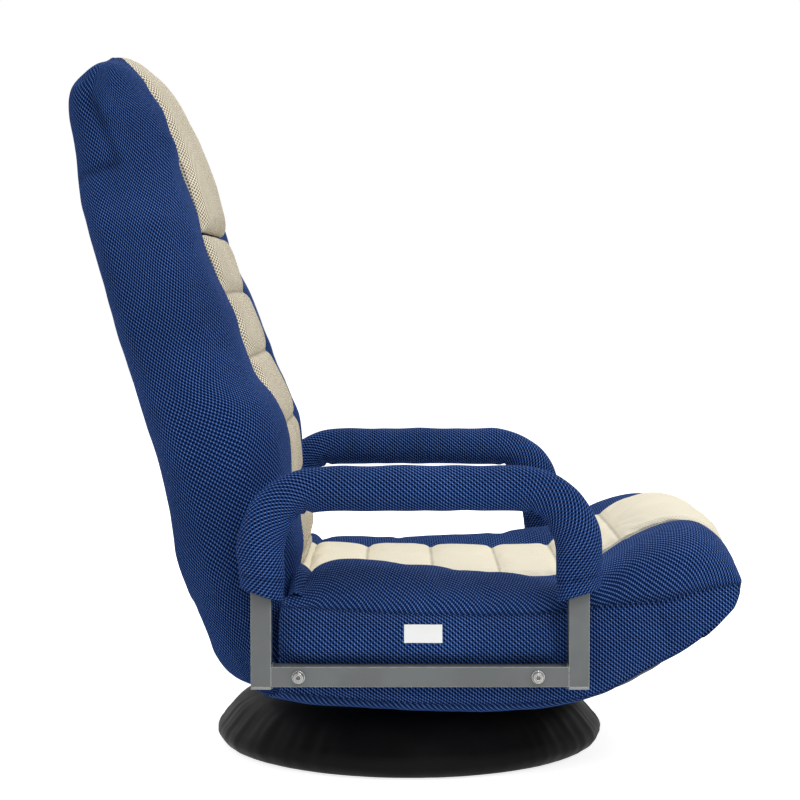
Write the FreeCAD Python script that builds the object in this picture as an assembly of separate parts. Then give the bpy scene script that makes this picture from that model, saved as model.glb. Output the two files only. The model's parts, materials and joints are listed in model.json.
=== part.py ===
import FreeCAD, Part
import math
import os

Vector = FreeCAD.Vector

# Floor chair with padded arms, a reclining back and a swivel base, in millimetres.
# +X is the way the sitter faces, +Y is the sitter's left, +Z is up.
# The origin is on the floor, on the swivel axis.

# Shared clearances and allowances
cut_overrun = 5.0
soft_gap = 0.3
sweep_gap = 1.5
shaft_gap = 0.05
leaf_gap = 0.1
hole_gap = 0.25

# Square tube of the arms and of the seat frame
tube_side = 20.0
tube_wall = 1.5

# Base
ring_radius = 193.0
ring_tube_diameter = 22.0
ring_wall = 1.5
foot_count = 4
foot_thickness = 2.0
foot_width = 10.0
foot_length = 24.0
foot_inset = 6.0
foot_wrap = 3.0
spoke_count = 4
spoke_diameter = 16.0
spoke_wall = 1.5
spoke_knee_radius = 130.0
spoke_inner_radius = 26.0
spoke_bend_radius = 30.0
spoke_height = 48.0
hub_radius = 140.0
hub_thickness = 3.0
skirt_thickness = 1.5
skirt_clearance = 0.3
skirt_bulge = 17.0
skirt_hem_overlap = 10.0
skirt_hem_drop = 10.0
skirt_wall_rise = 4.0

# Turntable
turntable_side = 150.0
turntable_plate = 2.5
turntable_corner = 12.0
ball_diameter = 7.0
ball_count = 16
race_radius = 40.0
ball_standoff = 5.5
cage_width = 12.0
cage_thickness = 1.5
rivet_radius = 12.0
rivet_flange_radius = 17.0
rivet_flange_thickness = 2.0
base_bolt_spacing = 120.0
seat_bolt_spacing = 100.0
screw_radius = 3.0
screw_head_radius = 5.0
nut_width = 10.0
nut_height = 5.0
screw_tail = 1.0
head_height = 2.6
nut_gap = 0.02

# Seat frame
rail_height = 122.0
rail_back = -119.0
rail_front = 170.0
rear_rail_x = -80.0
front_rail_x = 160.0
riser_width = 34.0
riser_length = 150.0
riser_wall = 2.0

# Arms
arm_side_gap = 0.5
arm_rear_x = -147.0
arm_front_x = 166.5
arm_top_height = 305.0
arm_bend_radius = 62.0
cap_thickness = 2.5
cap_plug_length = 10.0
foam_radius = 20.0
sleeve_thickness = 3.0
sleeve_drop = 102.0
rear_screw_x = -110.0
front_screw_x = 126.0
arm_washer_radius = 6.5
arm_washer_thickness = 1.2
lock_washer_radius = 5.0
lock_washer_thickness = 1.5
arm_head_radius = 4.6
arm_head_height = 3.0
socket_width = 4.0
socket_depth = 1.8
spacer_radius = 7.0
side_seam_gap = 2.0

# Recline pivot and hinge
pivot_x = -150.0
pivot_height = 155.0
barrel_radius = 53.0
recline_forward_angle = 10.0
recline_back_angle = 75.0
notch_step_angle = 15.0
notch_count = 6
back_tube_cover = 12.0
back_tube_side = 20.0
leaf_thickness = 4.0
hinge_disc_radius = 16.0
ratchet_radius = 26.0
notch_depth = 4.0
notch_width_share = 0.7
leaf_width = 22.0
leaf_foot_margin = 6.0
leaf_strap_length = 96.0
pin_radius = 5.0
pin_head_radius = 8.0
pin_head_height = 1.8
pawl_pivot_reach = 42.0
pawl_pin_radius = 2.5
pawl_eye_radius = 5.0
pawl_lift = 1.0
pawl_width = 6.0
pawl_swing_angle = 32.0
spring_turn_share = 0.25
sweep_steps = 8
sweep_reach_share = 1.2
spring_thickness = 0.8
spring_offset = 4.0

# Back cushion. Stations run up the back from the pivot.
back_height = 590.0
back_lean = 165.0
back_half_depth = 52.0
back_side_inset = 22.0
back_rear_crown = 4.0
back_side_crown = 4.0
back_front_dip = 6.0
back_corner = 36.0
barrel_end_round = 10.0
back_corner_limit_share = 0.45
back_frame_drop = 190.0
back_bend_radius = 60.0
back_cross_share = 0.38
lumbar_cross_share = 0.62
head_hoop_half_width = 120.0
head_hoop_drop = 30.0
head_hoop_diameter = 12.0
back_cross_side = 15.0

# Height, rear and front reach from the leaning centre line, half width and corner size,
# as shares of the back's height, half depth, half width and corner.
back_station_shares = [
    (0.000, 1.02, 1.00, 0.990, 0.36),
    (0.034, 1.06, 1.02, 1.000, 0.42),
    (0.068, 1.08, 0.88, 1.000, 0.50),
    (0.115, 1.12, 1.04, 1.000, 0.65),
    (0.176, 1.07, 1.24, 1.000, 0.85),
    (0.246, 1.02, 1.36, 1.000, 1.00),
    (0.314, 0.96, 1.54, 1.005, 1.00),
    (0.390, 0.97, 1.44, 1.020, 1.00),
    (0.466, 1.01, 1.17, 1.045, 1.00),
    (0.542, 1.00, 1.17, 1.060, 1.00),
    (0.619, 1.02, 0.97, 1.060, 1.00),
    (0.686, 0.99, 0.95, 1.040, 1.00),
    (0.754, 0.97, 0.93, 0.950, 1.00),
    (0.822, 1.06, 0.90, 0.835, 1.00),
    (0.907, 0.91, 0.83, 0.790, 1.00),
    (0.950, 0.75, 0.69, 0.750, 0.90),
    (0.983, 0.46, 0.40, 0.690, 0.60),
    (1.000, 0.24, 0.16, 0.640, 0.20),
]

# Cream panels: sewn channels, as shares of the back's height and half depth
panel_half_width = 120.0
panel_depth = 14.0
channel_crown = 6.0
panel_edge_share = 0.35
panel_edge_round = 16.0
back_groove_shares = [
    (0.078, 0.92),
    (0.115, 1.10),
    (0.229, 1.33),
    (0.339, 1.57),
    (0.463, 1.39),
    (0.580, 1.27),
    (0.688, 1.06),
]
# The pillow's face, over the top and down its short rear side
pillow_station_shares = [
    (0.688, 1.06),
    (0.729, 1.07),
    (0.790, 1.06),
    (0.856, 1.05),
    (0.935, 0.96),
    (0.990, 0.72),
    (1.019, 0.25),
    (1.022, -0.08),
    (1.006, -0.24),
]
pillow_depth = 24.0
pillow_crown = 1.2

# Seat cushion, as real places along X and heights above the floor
seat_half_width = 258.0
seat_side_bulge = 5.5
seat_rear_x = -131.0
seat_top_height = 207.0
seat_rear_rise = 12.0
seat_dip_x = 150.0
seat_dip_drop = 6.0
crest_foot_x = 188.0
crest_foot_rise = 4.0
crest_rise_x = 227.0
crest_rise_height = 234.0
crest_x = 288.0
crest_height = 250.0
nose_x = 331.0
nose_fullness = 3.0
nose_height = 212.0
chin_x = 311.0
chin_height = 172.0
throat_x = 252.0
throat_height = 133.0
keel_x = 191.0
keel_height = 100.0
bottom_front_x = 141.0
bottom_height = 80.0
bottom_rear_height = 91.5
seat_crown = 5.0
seat_crest_crown = 10.0
seat_edge_round = 22.0
seat_round_shares = (0.25, 0.45, 0.62, 0.78, 0.9, 1.0)
rear_fall_share = 0.5
edge_pull_share = 0.1
throat_lift_share = 0.8
brow_reach_share = 0.75
crest_bow_share = 0.25
brow_fullness = 18.0
brow_side_fullness = 2.0
crest_side_height = 203.0
crest_rise_side_height = 191.0
seat_under_round = 14.0
side_face_inset = 11.0
heel_tip_x = -160.0
heel_tip_height = 99.5
seat_groove_shares = [
    (-0.300, 1.072),
    (-0.145, 1.053),
    (0.066, 1.027),
    (0.287, 1.010),
    (0.483, 1.005),
]
# The panel's hump over the front crest, as shares of the crest's place and height
hump_shares = [
    (0.778, 0.988),
    (0.885, 1.040),
    (0.997, 1.068),
    (1.111, 1.008),
    (1.184, 0.900),
    (1.177, 0.850),
]
hump_crown_share = 0.25
cover_thickness = 2.5
cover_half_width = 205.0
belly_x = 281.0
belly_height = 112.0
belly_low_x = 228.0
belly_low_height = 80.0
belly_top_height = 150.0
belly_side_share = 0.35
belly_full_share = 0.72

# Side tag
tag_length = 38.0
tag_height = 17.5
tag_thickness = 0.8
tag_rear_x = -6.0
tag_bottom = 153.5

# Derived heights and places
seat_bar_x = seat_bolt_spacing / 2
ring_height = foot_thickness + ring_tube_diameter / 2
hub_bottom = spoke_height + spoke_diameter / 2
hub_top = hub_bottom + hub_thickness
lower_plate_top = hub_top + turntable_plate
upper_plate_bottom = lower_plate_top + ball_standoff
upper_plate_top = upper_plate_bottom + turntable_plate
ball_height = lower_plate_top + ball_standoff / 2
rail_bottom = rail_height - tube_side / 2
rail_top = rail_height + tube_side / 2
arm_inner = seat_half_width + seat_side_bulge + arm_side_gap
arm_outer = arm_inner + tube_side
arm_centre = arm_inner + tube_side / 2
seat_rail_outer = arm_inner - side_seam_gap
seat_rail_inner = seat_rail_outer - tube_side
sleeve_radius = foam_radius + sleeve_thickness
sleeve_end_height = arm_top_height - sleeve_drop
back_half_width = seat_half_width - back_side_inset
back_tube_outer = back_half_width - back_tube_cover
back_frame_reach = back_height - back_frame_drop
head_hoop_reach = back_height - head_hoop_drop
back_leaf_inner = back_tube_outer
back_leaf_outer = back_leaf_inner + leaf_thickness
seat_leaf_inner = back_leaf_outer + leaf_gap
seat_leaf_outer = seat_leaf_inner + leaf_thickness
spine_slope = back_lean / back_height
spine_angle = math.degrees(math.atan(spine_slope))
seat_leaf_angle = math.degrees(math.atan2(rail_height - pivot_height, rear_rail_x - pivot_x))
pawl_plate_inner = back_leaf_inner + leaf_gap


def box(x0, x1, y0, y1, z0, z1):
    """A block between two corners."""
    return Part.makeBox(x1 - x0, y1 - y0, z1 - z0, Vector(x0, y0, z0))


def cylinder_y(radius, x, z, y0, y1):
    """A cylinder along Y."""
    return Part.makeCylinder(radius, y1 - y0, Vector(x, y0, z), Vector(0, 1, 0))


def cylinder_z(radius, x, y, z0, z1):
    """A cylinder along Z."""
    return Part.makeCylinder(radius, z1 - z0, Vector(x, y, z0), Vector(0, 0, 1))


def hexagon(width, x, y, z, axis):
    """A hexagonal face, width across its flats, centred at a point and square to an axis."""
    corner = width / math.sqrt(3)
    side = Vector(1, 0, 0)
    other = axis.cross(side)
    points = []
    for i in range(7):
        turn = math.radians(60 * i)
        points.append(Vector(x, y, z) + side * corner * math.cos(turn) + other * corner * math.sin(turn))
    return Part.Face(Part.makePolygon(points))


def mirrored(shape):
    """The same shape on the other side of the chair."""
    return shape.mirror(Vector(0, 0, 0), Vector(0, 1, 0))


def pair(shape):
    """A left piece and its right copy, as one group of separate solids."""
    return Part.Compound([shape, mirrored(shape)])


def fused(shapes):
    """One solid from shapes that touch or overlap."""
    body = shapes[0].multiFuse(shapes[1:])
    return body.removeSplitter()


def prism_y(points, y0, y1):
    """A prism along Y from places (x, z)."""
    corners = [Vector(x, y0, z) for x, z in points]
    face = Part.Face(Part.makePolygon(corners + corners[:1]))
    return face.extrude(Vector(0, y1 - y0, 0))


def turned(x, z, degrees):
    """A place (x, z) after the back turns forward about the pivot."""
    turn = math.radians(degrees)
    dx = x - pivot_x
    dz = z - pivot_height
    return (
        pivot_x + dx * math.cos(turn) + dz * math.sin(turn),
        pivot_height - dx * math.sin(turn) + dz * math.cos(turn),
    )


def polar(reach, degrees):
    """A place (x, z) at a reach and an angle from the recline pivot."""
    turn = math.radians(degrees)
    return (pivot_x + reach * math.cos(turn), pivot_height + reach * math.sin(turn))


def lean(shape):
    """A shape drawn upright at the pivot, leant back along the back's centre line."""
    return shape.rotated(Vector(pivot_x, 0, pivot_height), Vector(0, 1, 0), -spine_angle)


def rounded_path(points, radius):
    """Straight runs and bends through places: a list of ('run', a, b) and ('bend', a, b, centre, degrees)."""
    pieces = []
    start = points[0]
    for i in range(1, len(points) - 1):
        before = (points[i] - points[i - 1]).normalize()
        after = (points[i + 1] - points[i]).normalize()
        angle = before.getAngle(after)
        reach = radius * math.tan(angle / 2)
        first = points[i] - before * reach
        last = points[i] + after * reach
        normal = before.cross(after).normalize()
        centre = first + normal.cross(before) * radius
        pieces.append(("run", start, first))
        pieces.append(("bend", first, last, centre, math.degrees(angle), normal))
        start = last
    pieces.append(("run", start, points[-1]))
    return pieces


def swept(points, radius, section):
    """A bar along a path. section(place, along) gives its face."""
    solids = []
    for piece in rounded_path(points, radius):
        if piece[0] == "run":
            first, last = piece[1], piece[2]
            along = (last - first).normalize()
            solids.append(section(first, along).extrude(last - first))
        else:
            first, centre, degrees, normal = piece[1], piece[3], piece[4], piece[5]
            along = normal.cross(first - centre).normalize()
            solids.append(section(first, along).revolve(centre, normal, degrees))
    return fused(solids)


def square_section(side, flat):
    """A maker of square faces with two edges along the direction flat."""

    def section(place, along):
        across = along.cross(flat).normalize()
        half = side / 2
        corners = []
        for u, v in ((-1, -1), (1, -1), (1, 1), (-1, 1), (-1, -1)):
            corners.append(place + flat * half * u + across * half * v)
        return Part.Face(Part.makePolygon(corners))

    return section


def round_section(radius):
    """A maker of round faces."""

    def section(place, along):
        return Part.Face(Part.Wire(Part.makeCircle(radius, place, along)))

    return section


def hollow_bar(points, bend_radius, outer, inner):
    """A bent tube from its outer and inner sections."""
    return swept(points, bend_radius, outer).cut(swept(points, bend_radius, inner))


def hollow_box(x0, x1, y0, y1, z0, z1, wall, axis):
    """A straight rectangular tube, open at both ends along an axis."""
    body = box(x0, x1, y0, y1, z0, z1)
    if axis == "X":
        bore = box(x0 - cut_overrun, x1 + cut_overrun, y0 + wall, y1 - wall, z0 + wall, z1 - wall)
    else:
        bore = box(x0 + wall, x1 - wall, y0 - cut_overrun, y1 + cut_overrun, z0 + wall, z1 - wall)
    return body.cut(bore)


def around(shape, count, first_angle):
    """Copies of a shape in a circle about the swivel axis."""
    copies = []
    for i in range(count):
        copies.append(shape.rotated(Vector(0, 0, 0), Vector(0, 0, 1), first_angle + 360.0 * i / count))
    return copies


def at_corners(spacing):
    """The four places of a square bolt pattern about the swivel axis."""
    half = spacing / 2
    return [(half, half), (-half, half), (-half, -half), (half, -half)]


# Base

def ring_solid():
    return Part.makeTorus(ring_radius, ring_tube_diameter / 2, Vector(0, 0, ring_height))


def base_ring():
    bore = Part.makeTorus(ring_radius, ring_tube_diameter / 2 - ring_wall, Vector(0, 0, ring_height))
    return ring_solid().cut(bore)


def base_feet():
    foot_radius = ring_radius - foot_inset
    block = box(foot_radius - foot_width / 2, foot_radius + foot_width / 2,
                -foot_length / 2, foot_length / 2, 0, foot_thickness + foot_wrap)
    foot = block.cut(ring_solid())
    return Part.Compound(around(foot, foot_count, 180.0 / foot_count))


def base_spokes():
    path = [Vector(ring_radius, 0, ring_height), Vector(spoke_knee_radius, 0, spoke_height),
            Vector(spoke_inner_radius, 0, spoke_height)]
    outer = round_section(spoke_diameter / 2)
    inner = round_section(spoke_diameter / 2 - spoke_wall)
    spoke = hollow_bar(path, spoke_bend_radius, outer, inner).cut(ring_solid())
    solids = sorted(spoke.Solids, key=lambda part: part.Volume)
    return Part.Compound(around(solids[-1], spoke_count, 0))


def base_hub():
    disc = cylinder_z(hub_radius, 0, 0, hub_bottom, hub_top)
    disc = disc.cut(cylinder_z(rivet_flange_radius + hole_gap, 0, 0, hub_bottom, hub_top))
    for x, y in at_corners(base_bolt_spacing):
        disc = disc.cut(cylinder_z(screw_radius + hole_gap, x, y, hub_bottom, hub_top))
    return disc


def skirt_line(offset):
    """The skirt's side line from its hem to its top, moved inwards by an offset."""
    wall = ring_radius + ring_tube_diameter / 2 + skirt_clearance + skirt_thickness - offset
    hem = Vector(wall, 0, ring_height - skirt_hem_drop)
    edge = Vector(wall, 0, ring_height + skirt_wall_rise)
    top = Vector(hub_radius, 0, hub_top + skirt_thickness - offset)
    chord = top - edge
    normal = Vector(-chord.z, 0, chord.x).normalize()
    middle = (edge + top) / 2 - normal * skirt_bulge
    inner = Vector(hub_radius - skirt_hem_overlap, 0, hub_top + skirt_thickness - offset)
    return hem, edge, middle, top, inner


def base_skirt():
    hem, edge, middle, top, inner = skirt_line(0)
    low_hem, low_edge, low_middle, low_top, low_inner = skirt_line(skirt_thickness)
    edges = [
        Part.LineSegment(hem, edge).toShape(),
        Part.Arc(edge, middle, top).toShape(),
        Part.LineSegment(top, inner).toShape(),
        Part.LineSegment(inner, low_inner).toShape(),
        Part.LineSegment(low_inner, low_top).toShape(),
        Part.Arc(low_top, low_middle, low_edge).toShape(),
        Part.LineSegment(low_edge, low_hem).toShape(),
        Part.LineSegment(low_hem, hem).toShape(),
    ]
    return Part.Face(Part.Wire(edges)).revolve(Vector(0, 0, 0), Vector(0, 0, 1), 360)


# Turntable

def turntable_blank(z0):
    half = turntable_side / 2
    plate = box(-half, half, -half, half, z0, z0 + turntable_plate)
    upright = [edge for edge in plate.Edges if edge.BoundBox.ZLength > turntable_plate / 2]
    return plate.makeFillet(turntable_corner, upright)


def race():
    return Part.makeTorus(race_radius, ball_diameter / 2 + shaft_gap, Vector(0, 0, ball_height))


def turntable_lower_plate():
    plate = turntable_blank(hub_top).cut(race())
    plate = plate.cut(cylinder_z(rivet_radius, 0, 0, hub_top, lower_plate_top))
    for x, y in at_corners(base_bolt_spacing):
        plate = plate.cut(cylinder_z(screw_radius + hole_gap, x, y, hub_top, lower_plate_top))
    return plate


def turntable_upper_plate():
    plate = turntable_blank(upper_plate_bottom).cut(race())
    plate = plate.cut(cylinder_z(rivet_radius + shaft_gap, 0, 0, upper_plate_bottom, upper_plate_top))
    for x, y in at_corners(seat_bolt_spacing):
        plate = plate.cut(cylinder_z(screw_radius + hole_gap, x, y, upper_plate_bottom, upper_plate_top))
    return plate


def turntable_rivet():
    shaft = cylinder_z(rivet_radius, 0, 0, hub_top, upper_plate_top + shaft_gap)
    low_flange = cylinder_z(rivet_flange_radius, 0, 0, hub_top - rivet_flange_thickness, hub_top)
    high_bottom = upper_plate_top + shaft_gap
    high_flange = cylinder_z(rivet_flange_radius, 0, 0, high_bottom, high_bottom + rivet_flange_thickness)
    return fused([shaft, low_flange, high_flange])


def turntable_balls():
    ball = Part.makeSphere(ball_diameter / 2, Vector(race_radius, 0, ball_height))
    return Part.Compound(around(ball, ball_count, 0))


def turntable_ball_cage():
    low = ball_height - cage_thickness / 2
    high = ball_height + cage_thickness / 2
    ring = cylinder_z(race_radius + cage_width / 2, 0, 0, low, high)
    ring = ring.cut(cylinder_z(race_radius - cage_width / 2, 0, 0, low, high))
    pocket = cylinder_z(ball_diameter / 2 + shaft_gap, race_radius, 0, low, high)
    return ring.cut(Part.Compound(around(pocket, ball_count, 0)))


def screw_down(x, y, head_z, tail_z):
    """A screw with a flat head, its head up, or down if the tail is higher."""
    step = 1 if head_z > tail_z else -1
    shaft = cylinder_z(screw_radius, x, y, min(head_z, tail_z), max(head_z, tail_z))
    head_top = head_z + step * head_height
    head = cylinder_z(screw_head_radius, x, y, min(head_z, head_top), max(head_z, head_top))
    return fused([shaft, head])


def nut_z(x, y, z):
    """A nut on a screw along Z."""
    body = hexagon(nut_width, x, y, z, Vector(0, 0, 1)).extrude(Vector(0, 0, nut_height))
    return body.cut(cylinder_z(screw_radius + nut_gap, x, y, z, z + nut_height))


def turntable_base_screws():
    tail = hub_bottom - nut_height - screw_tail
    corners = at_corners(base_bolt_spacing)
    return Part.Compound([screw_down(x, y, lower_plate_top, tail) for x, y in corners])


def turntable_base_nuts():
    return Part.Compound([nut_z(x, y, hub_bottom - nut_height) for x, y in at_corners(base_bolt_spacing)])


def turntable_seat_screws():
    tail = upper_plate_top + riser_wall + nut_height + screw_tail
    corners = at_corners(seat_bolt_spacing)
    return Part.Compound([screw_down(x, y, upper_plate_bottom, tail) for x, y in corners])


def turntable_seat_nuts():
    low = upper_plate_top + riser_wall
    return Part.Compound([nut_z(x, y, low) for x, y in at_corners(seat_bolt_spacing)])


def turntable_risers():
    risers = []
    for x in (-seat_bar_x, seat_bar_x):
        riser = hollow_box(x - riser_width / 2, x + riser_width / 2, -riser_length / 2, riser_length / 2,
                           upper_plate_top, rail_bottom, riser_wall, "Y")
        for y in (-seat_bolt_spacing / 2, seat_bolt_spacing / 2):
            riser = riser.cut(cylinder_z(screw_radius + hole_gap, x, y, upper_plate_top,
                                         upper_plate_top + riser_wall))
        risers.append(riser)
    return Part.Compound(risers)


# Seat frame

def seat_frame():
    side = hollow_box(rail_back, rail_front, seat_rail_inner, seat_rail_outer, rail_bottom, rail_top,
                      tube_wall, "X")
    tubes = [side, mirrored(side)]
    for x in (rear_rail_x, front_rail_x):
        tubes.append(hollow_box(x - tube_side / 2, x + tube_side / 2, -seat_rail_inner, seat_rail_inner,
                                rail_bottom, rail_top, tube_wall, "Y"))
    frame = fused(tubes)
    for x in (rear_screw_x, front_screw_x):
        frame = frame.cut(cylinder_y(screw_radius + hole_gap, x, rail_height, -arm_outer, arm_outer))
    return frame


def seat_cross_bars():
    bars = []
    for x in (-seat_bar_x, seat_bar_x):
        bars.append(hollow_box(x - tube_side / 2, x + tube_side / 2, -seat_rail_inner, seat_rail_inner,
                               rail_bottom, rail_top, tube_wall, "Y"))
    return Part.Compound(bars)


# Arms

def arm_path(foot_height):
    return [Vector(arm_rear_x, arm_centre, foot_height), Vector(arm_rear_x, arm_centre, arm_top_height),
            Vector(arm_front_x, arm_centre, arm_top_height), Vector(arm_front_x, arm_centre, foot_height)]


def arm_tube():
    outer = square_section(tube_side, Vector(0, 1, 0))
    inner = square_section(tube_side - 2 * tube_wall, Vector(0, 1, 0))
    return hollow_bar(arm_path(rail_bottom), arm_bend_radius, outer, inner)


def arm_rail():
    rail = hollow_box(arm_rear_x + tube_side / 2, arm_front_x - tube_side / 2, arm_inner, arm_outer,
                      rail_bottom, rail_top, tube_wall, "X")
    for x in (rear_screw_x, front_screw_x):
        rail = rail.cut(cylinder_y(screw_radius + hole_gap, x, rail_height, arm_inner, arm_outer))
    return rail


def arm_end_caps():
    caps = []
    half = tube_side / 2
    plug = half - tube_wall
    for x in (arm_rear_x, arm_front_x):
        plate = box(x - half, x + half, arm_inner, arm_outer, rail_bottom - cap_thickness, rail_bottom)
        stem = box(x - plug, x + plug, arm_centre - plug, arm_centre + plug, rail_bottom,
                   rail_bottom + cap_plug_length)
        caps.append(pair(fused([plate, stem])))
    return Part.Compound([solid for cap in caps for solid in cap.Solids])


def arm_foam():
    foam = swept(arm_path(sleeve_end_height), arm_bend_radius, round_section(foam_radius))
    core = swept(arm_path(sleeve_end_height - cut_overrun), arm_bend_radius,
                 square_section(tube_side, Vector(0, 1, 0)))
    return foam.cut(core)


def arm_sleeve():
    outer = swept(arm_path(sleeve_end_height), arm_bend_radius, round_section(sleeve_radius))
    inner = swept(arm_path(sleeve_end_height), arm_bend_radius, round_section(foam_radius))
    return outer.cut(inner)


def arm_rings(radius, bore, y0, y1):
    """Rings on the arm screws, two on each side."""
    rings = []
    for x in (rear_screw_x, front_screw_x):
        ring = cylinder_y(radius, x, rail_height, y0, y1).cut(cylinder_y(bore, x, rail_height, y0, y1))
        rings.extend([ring, mirrored(ring)])
    return Part.Compound(rings)


def arm_flat_washers():
    return arm_rings(arm_washer_radius, screw_radius + hole_gap, arm_outer, arm_outer + arm_washer_thickness)


def arm_lock_washers():
    low = arm_outer + arm_washer_thickness
    return arm_rings(lock_washer_radius, screw_radius + hole_gap, low, low + lock_washer_thickness)


def arm_spacers():
    return arm_rings(spacer_radius, screw_radius + hole_gap, seat_rail_outer, arm_inner)


def arm_screws():
    screws = []
    head_low = arm_outer + arm_washer_thickness + lock_washer_thickness
    head_high = head_low + arm_head_height
    tail = seat_rail_inner - nut_height - screw_tail
    for x in (rear_screw_x, front_screw_x):
        shaft = cylinder_y(screw_radius, x, rail_height, tail, head_low)
        head = cylinder_y(arm_head_radius, x, rail_height, head_low, head_high)
        socket = hexagon(socket_width, x, head_high - socket_depth, rail_height, Vector(0, 1, 0))
        screw = fused([shaft, head]).cut(socket.extrude(Vector(0, socket_depth, 0)))
        screws.extend([screw, mirrored(screw)])
    return Part.Compound(screws)


def arm_nuts():
    nuts = []
    low = seat_rail_inner - nut_height
    for x in (rear_screw_x, front_screw_x):
        body = hexagon(nut_width, x, low, rail_height, Vector(0, 1, 0)).extrude(Vector(0, nut_height, 0))
        nut = body.cut(cylinder_y(screw_radius + nut_gap, x, rail_height, low, seat_rail_inner))
        nuts.extend([nut, mirrored(nut)])
    return Part.Compound(nuts)


# Hinges

def leaf_arm(reach, width, degrees, y0, y1):
    """A flat bar from the pivot outwards at an angle."""
    bar = box(0, reach, y0, y1, -width / 2, width / 2)
    bar = bar.rotated(Vector(0, 0, 0), Vector(0, 1, 0), -degrees)
    return bar.translated(Vector(pivot_x, 0, pivot_height))


def seat_leaf_reach():
    return math.hypot(rear_rail_x - pivot_x, rail_height - pivot_height)


def hinge_seat_leaf():
    disc = cylinder_y(hinge_disc_radius, pivot_x, pivot_height, seat_leaf_inner, seat_leaf_outer)
    arm = leaf_arm(seat_leaf_reach(), leaf_width, seat_leaf_angle, seat_leaf_inner, seat_leaf_outer)
    half = tube_side / 2
    reach = half + leaf_foot_margin
    foot = box(rear_rail_x - reach, rear_rail_x + reach, seat_leaf_inner, seat_leaf_outer,
               rail_height - reach, rail_height + reach)
    bar = box(rear_rail_x - half, rear_rail_x + half, seat_leaf_inner, seat_leaf_outer, rail_bottom, rail_top)
    pin_hole = cylinder_y(pin_radius + shaft_gap, pivot_x, pivot_height, seat_leaf_inner, seat_leaf_outer)
    leaf = fused([disc, arm, foot]).cut(bar).cut(pin_hole)
    px, pz = polar(pawl_pivot_reach, seat_leaf_angle)
    pawl_pin = cylinder_y(pawl_pin_radius, px, pz, back_leaf_inner, seat_leaf_inner)
    return fused([leaf, pawl_pin])


def hinge_pawl():
    px, pz = polar(pawl_pivot_reach, seat_leaf_angle)
    tip_angle = seat_leaf_angle - pawl_swing_angle
    tip = polar(ratchet_radius + pawl_lift, tip_angle)
    heel = polar(ratchet_radius + pawl_lift + pawl_width, tip_angle)
    eye_top = polar(pawl_pivot_reach + pawl_eye_radius, seat_leaf_angle)
    eye_low = polar(pawl_pivot_reach - pawl_eye_radius, seat_leaf_angle)
    eye = cylinder_y(pawl_eye_radius, px, pz, pawl_plate_inner, back_leaf_outer)
    finger = prism_y([tip, heel, eye_top, eye_low], pawl_plate_inner, back_leaf_outer)
    pawl = fused([eye, finger])
    return pawl.cut(cylinder_y(pawl_pin_radius + shaft_gap, px, pz, pawl_plate_inner, back_leaf_outer))


def hinge_spring():
    tip_angle = seat_leaf_angle - pawl_swing_angle
    reach = ratchet_radius + pawl_lift + pawl_width + shaft_gap
    first = polar(reach, tip_angle)
    second = polar(reach + spring_thickness, tip_angle)
    far_angle = tip_angle + pawl_swing_angle * spring_turn_share
    far = polar(pawl_pivot_reach + spring_offset, far_angle)
    near = polar(pawl_pivot_reach + spring_offset - spring_thickness, far_angle)
    return prism_y([first, second, far, near], pawl_plate_inner, back_leaf_outer)


def hinge_back_leaf():
    disc = cylinder_y(ratchet_radius, pivot_x, pivot_height, back_leaf_inner, back_leaf_outer)
    upright = 90 + spine_angle
    strap = leaf_arm(leaf_strap_length, leaf_width, upright, back_leaf_inner, back_leaf_outer)
    leaf = fused([disc, strap])
    first_notch = seat_leaf_angle - pawl_swing_angle
    for i in range(notch_count):
        angle = first_notch - notch_step_angle * i
        deep = polar(ratchet_radius - notch_depth, angle)
        lead = polar(ratchet_radius + notch_depth, angle)
        trail = polar(ratchet_radius + notch_depth, angle - notch_step_angle * notch_width_share)
        leaf = leaf.cut(prism_y([deep, lead, trail], back_leaf_inner, back_leaf_outer))
    return leaf.cut(cylinder_y(pin_radius, pivot_x, pivot_height, back_leaf_inner, back_leaf_outer))


def hinge_pin():
    start = back_tube_outer - back_tube_side / 2
    end = seat_leaf_outer + leaf_gap
    shaft = cylinder_y(pin_radius, pivot_x, pivot_height, start, end)
    head = cylinder_y(pin_head_radius, pivot_x, pivot_height, end, end + pin_head_height)
    return fused([shaft, head])


def hinge_sweep(width_gap, y0, y1):
    """The space in the back cushion that the seat leaf and the pawl pass through as the back turns."""
    first = seat_leaf_angle + recline_forward_angle
    last = seat_leaf_angle - recline_back_angle
    width = leaf_width + 2 * width_gap
    far = (barrel_radius + cut_overrun) * sweep_reach_share
    points = [(pivot_x, pivot_height)]
    for i in range(sweep_steps + 1):
        points.append(polar(far, first + (last - first) * i / sweep_steps))
    fan = prism_y(points, y0, y1)
    bars = [leaf_arm(far, width, angle, y0, y1) for angle in (first, last)]
    tail = leaf_arm(far, width, last - pawl_swing_angle / 2, y0, y1)
    disc = cylinder_y(ratchet_radius + width_gap, pivot_x, pivot_height, y0, y1)
    return fused([fan, disc, tail] + bars)


# Back frame

def back_frame():
    y = back_tube_outer - back_tube_side / 2
    low = pivot_height
    high = pivot_height + back_frame_reach
    points = [Vector(pivot_x, y, low), Vector(pivot_x, y, high), Vector(pivot_x, -y, high),
              Vector(pivot_x, -y, low)]
    outer = square_section(back_tube_side, Vector(1, 0, 0))
    inner = square_section(back_tube_side - 2 * tube_wall, Vector(1, 0, 0))
    frame = lean(hollow_bar(points, back_bend_radius, outer, inner))
    return frame.cut(cylinder_y(pin_radius, pivot_x, pivot_height, -back_tube_outer, back_tube_outer))


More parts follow.
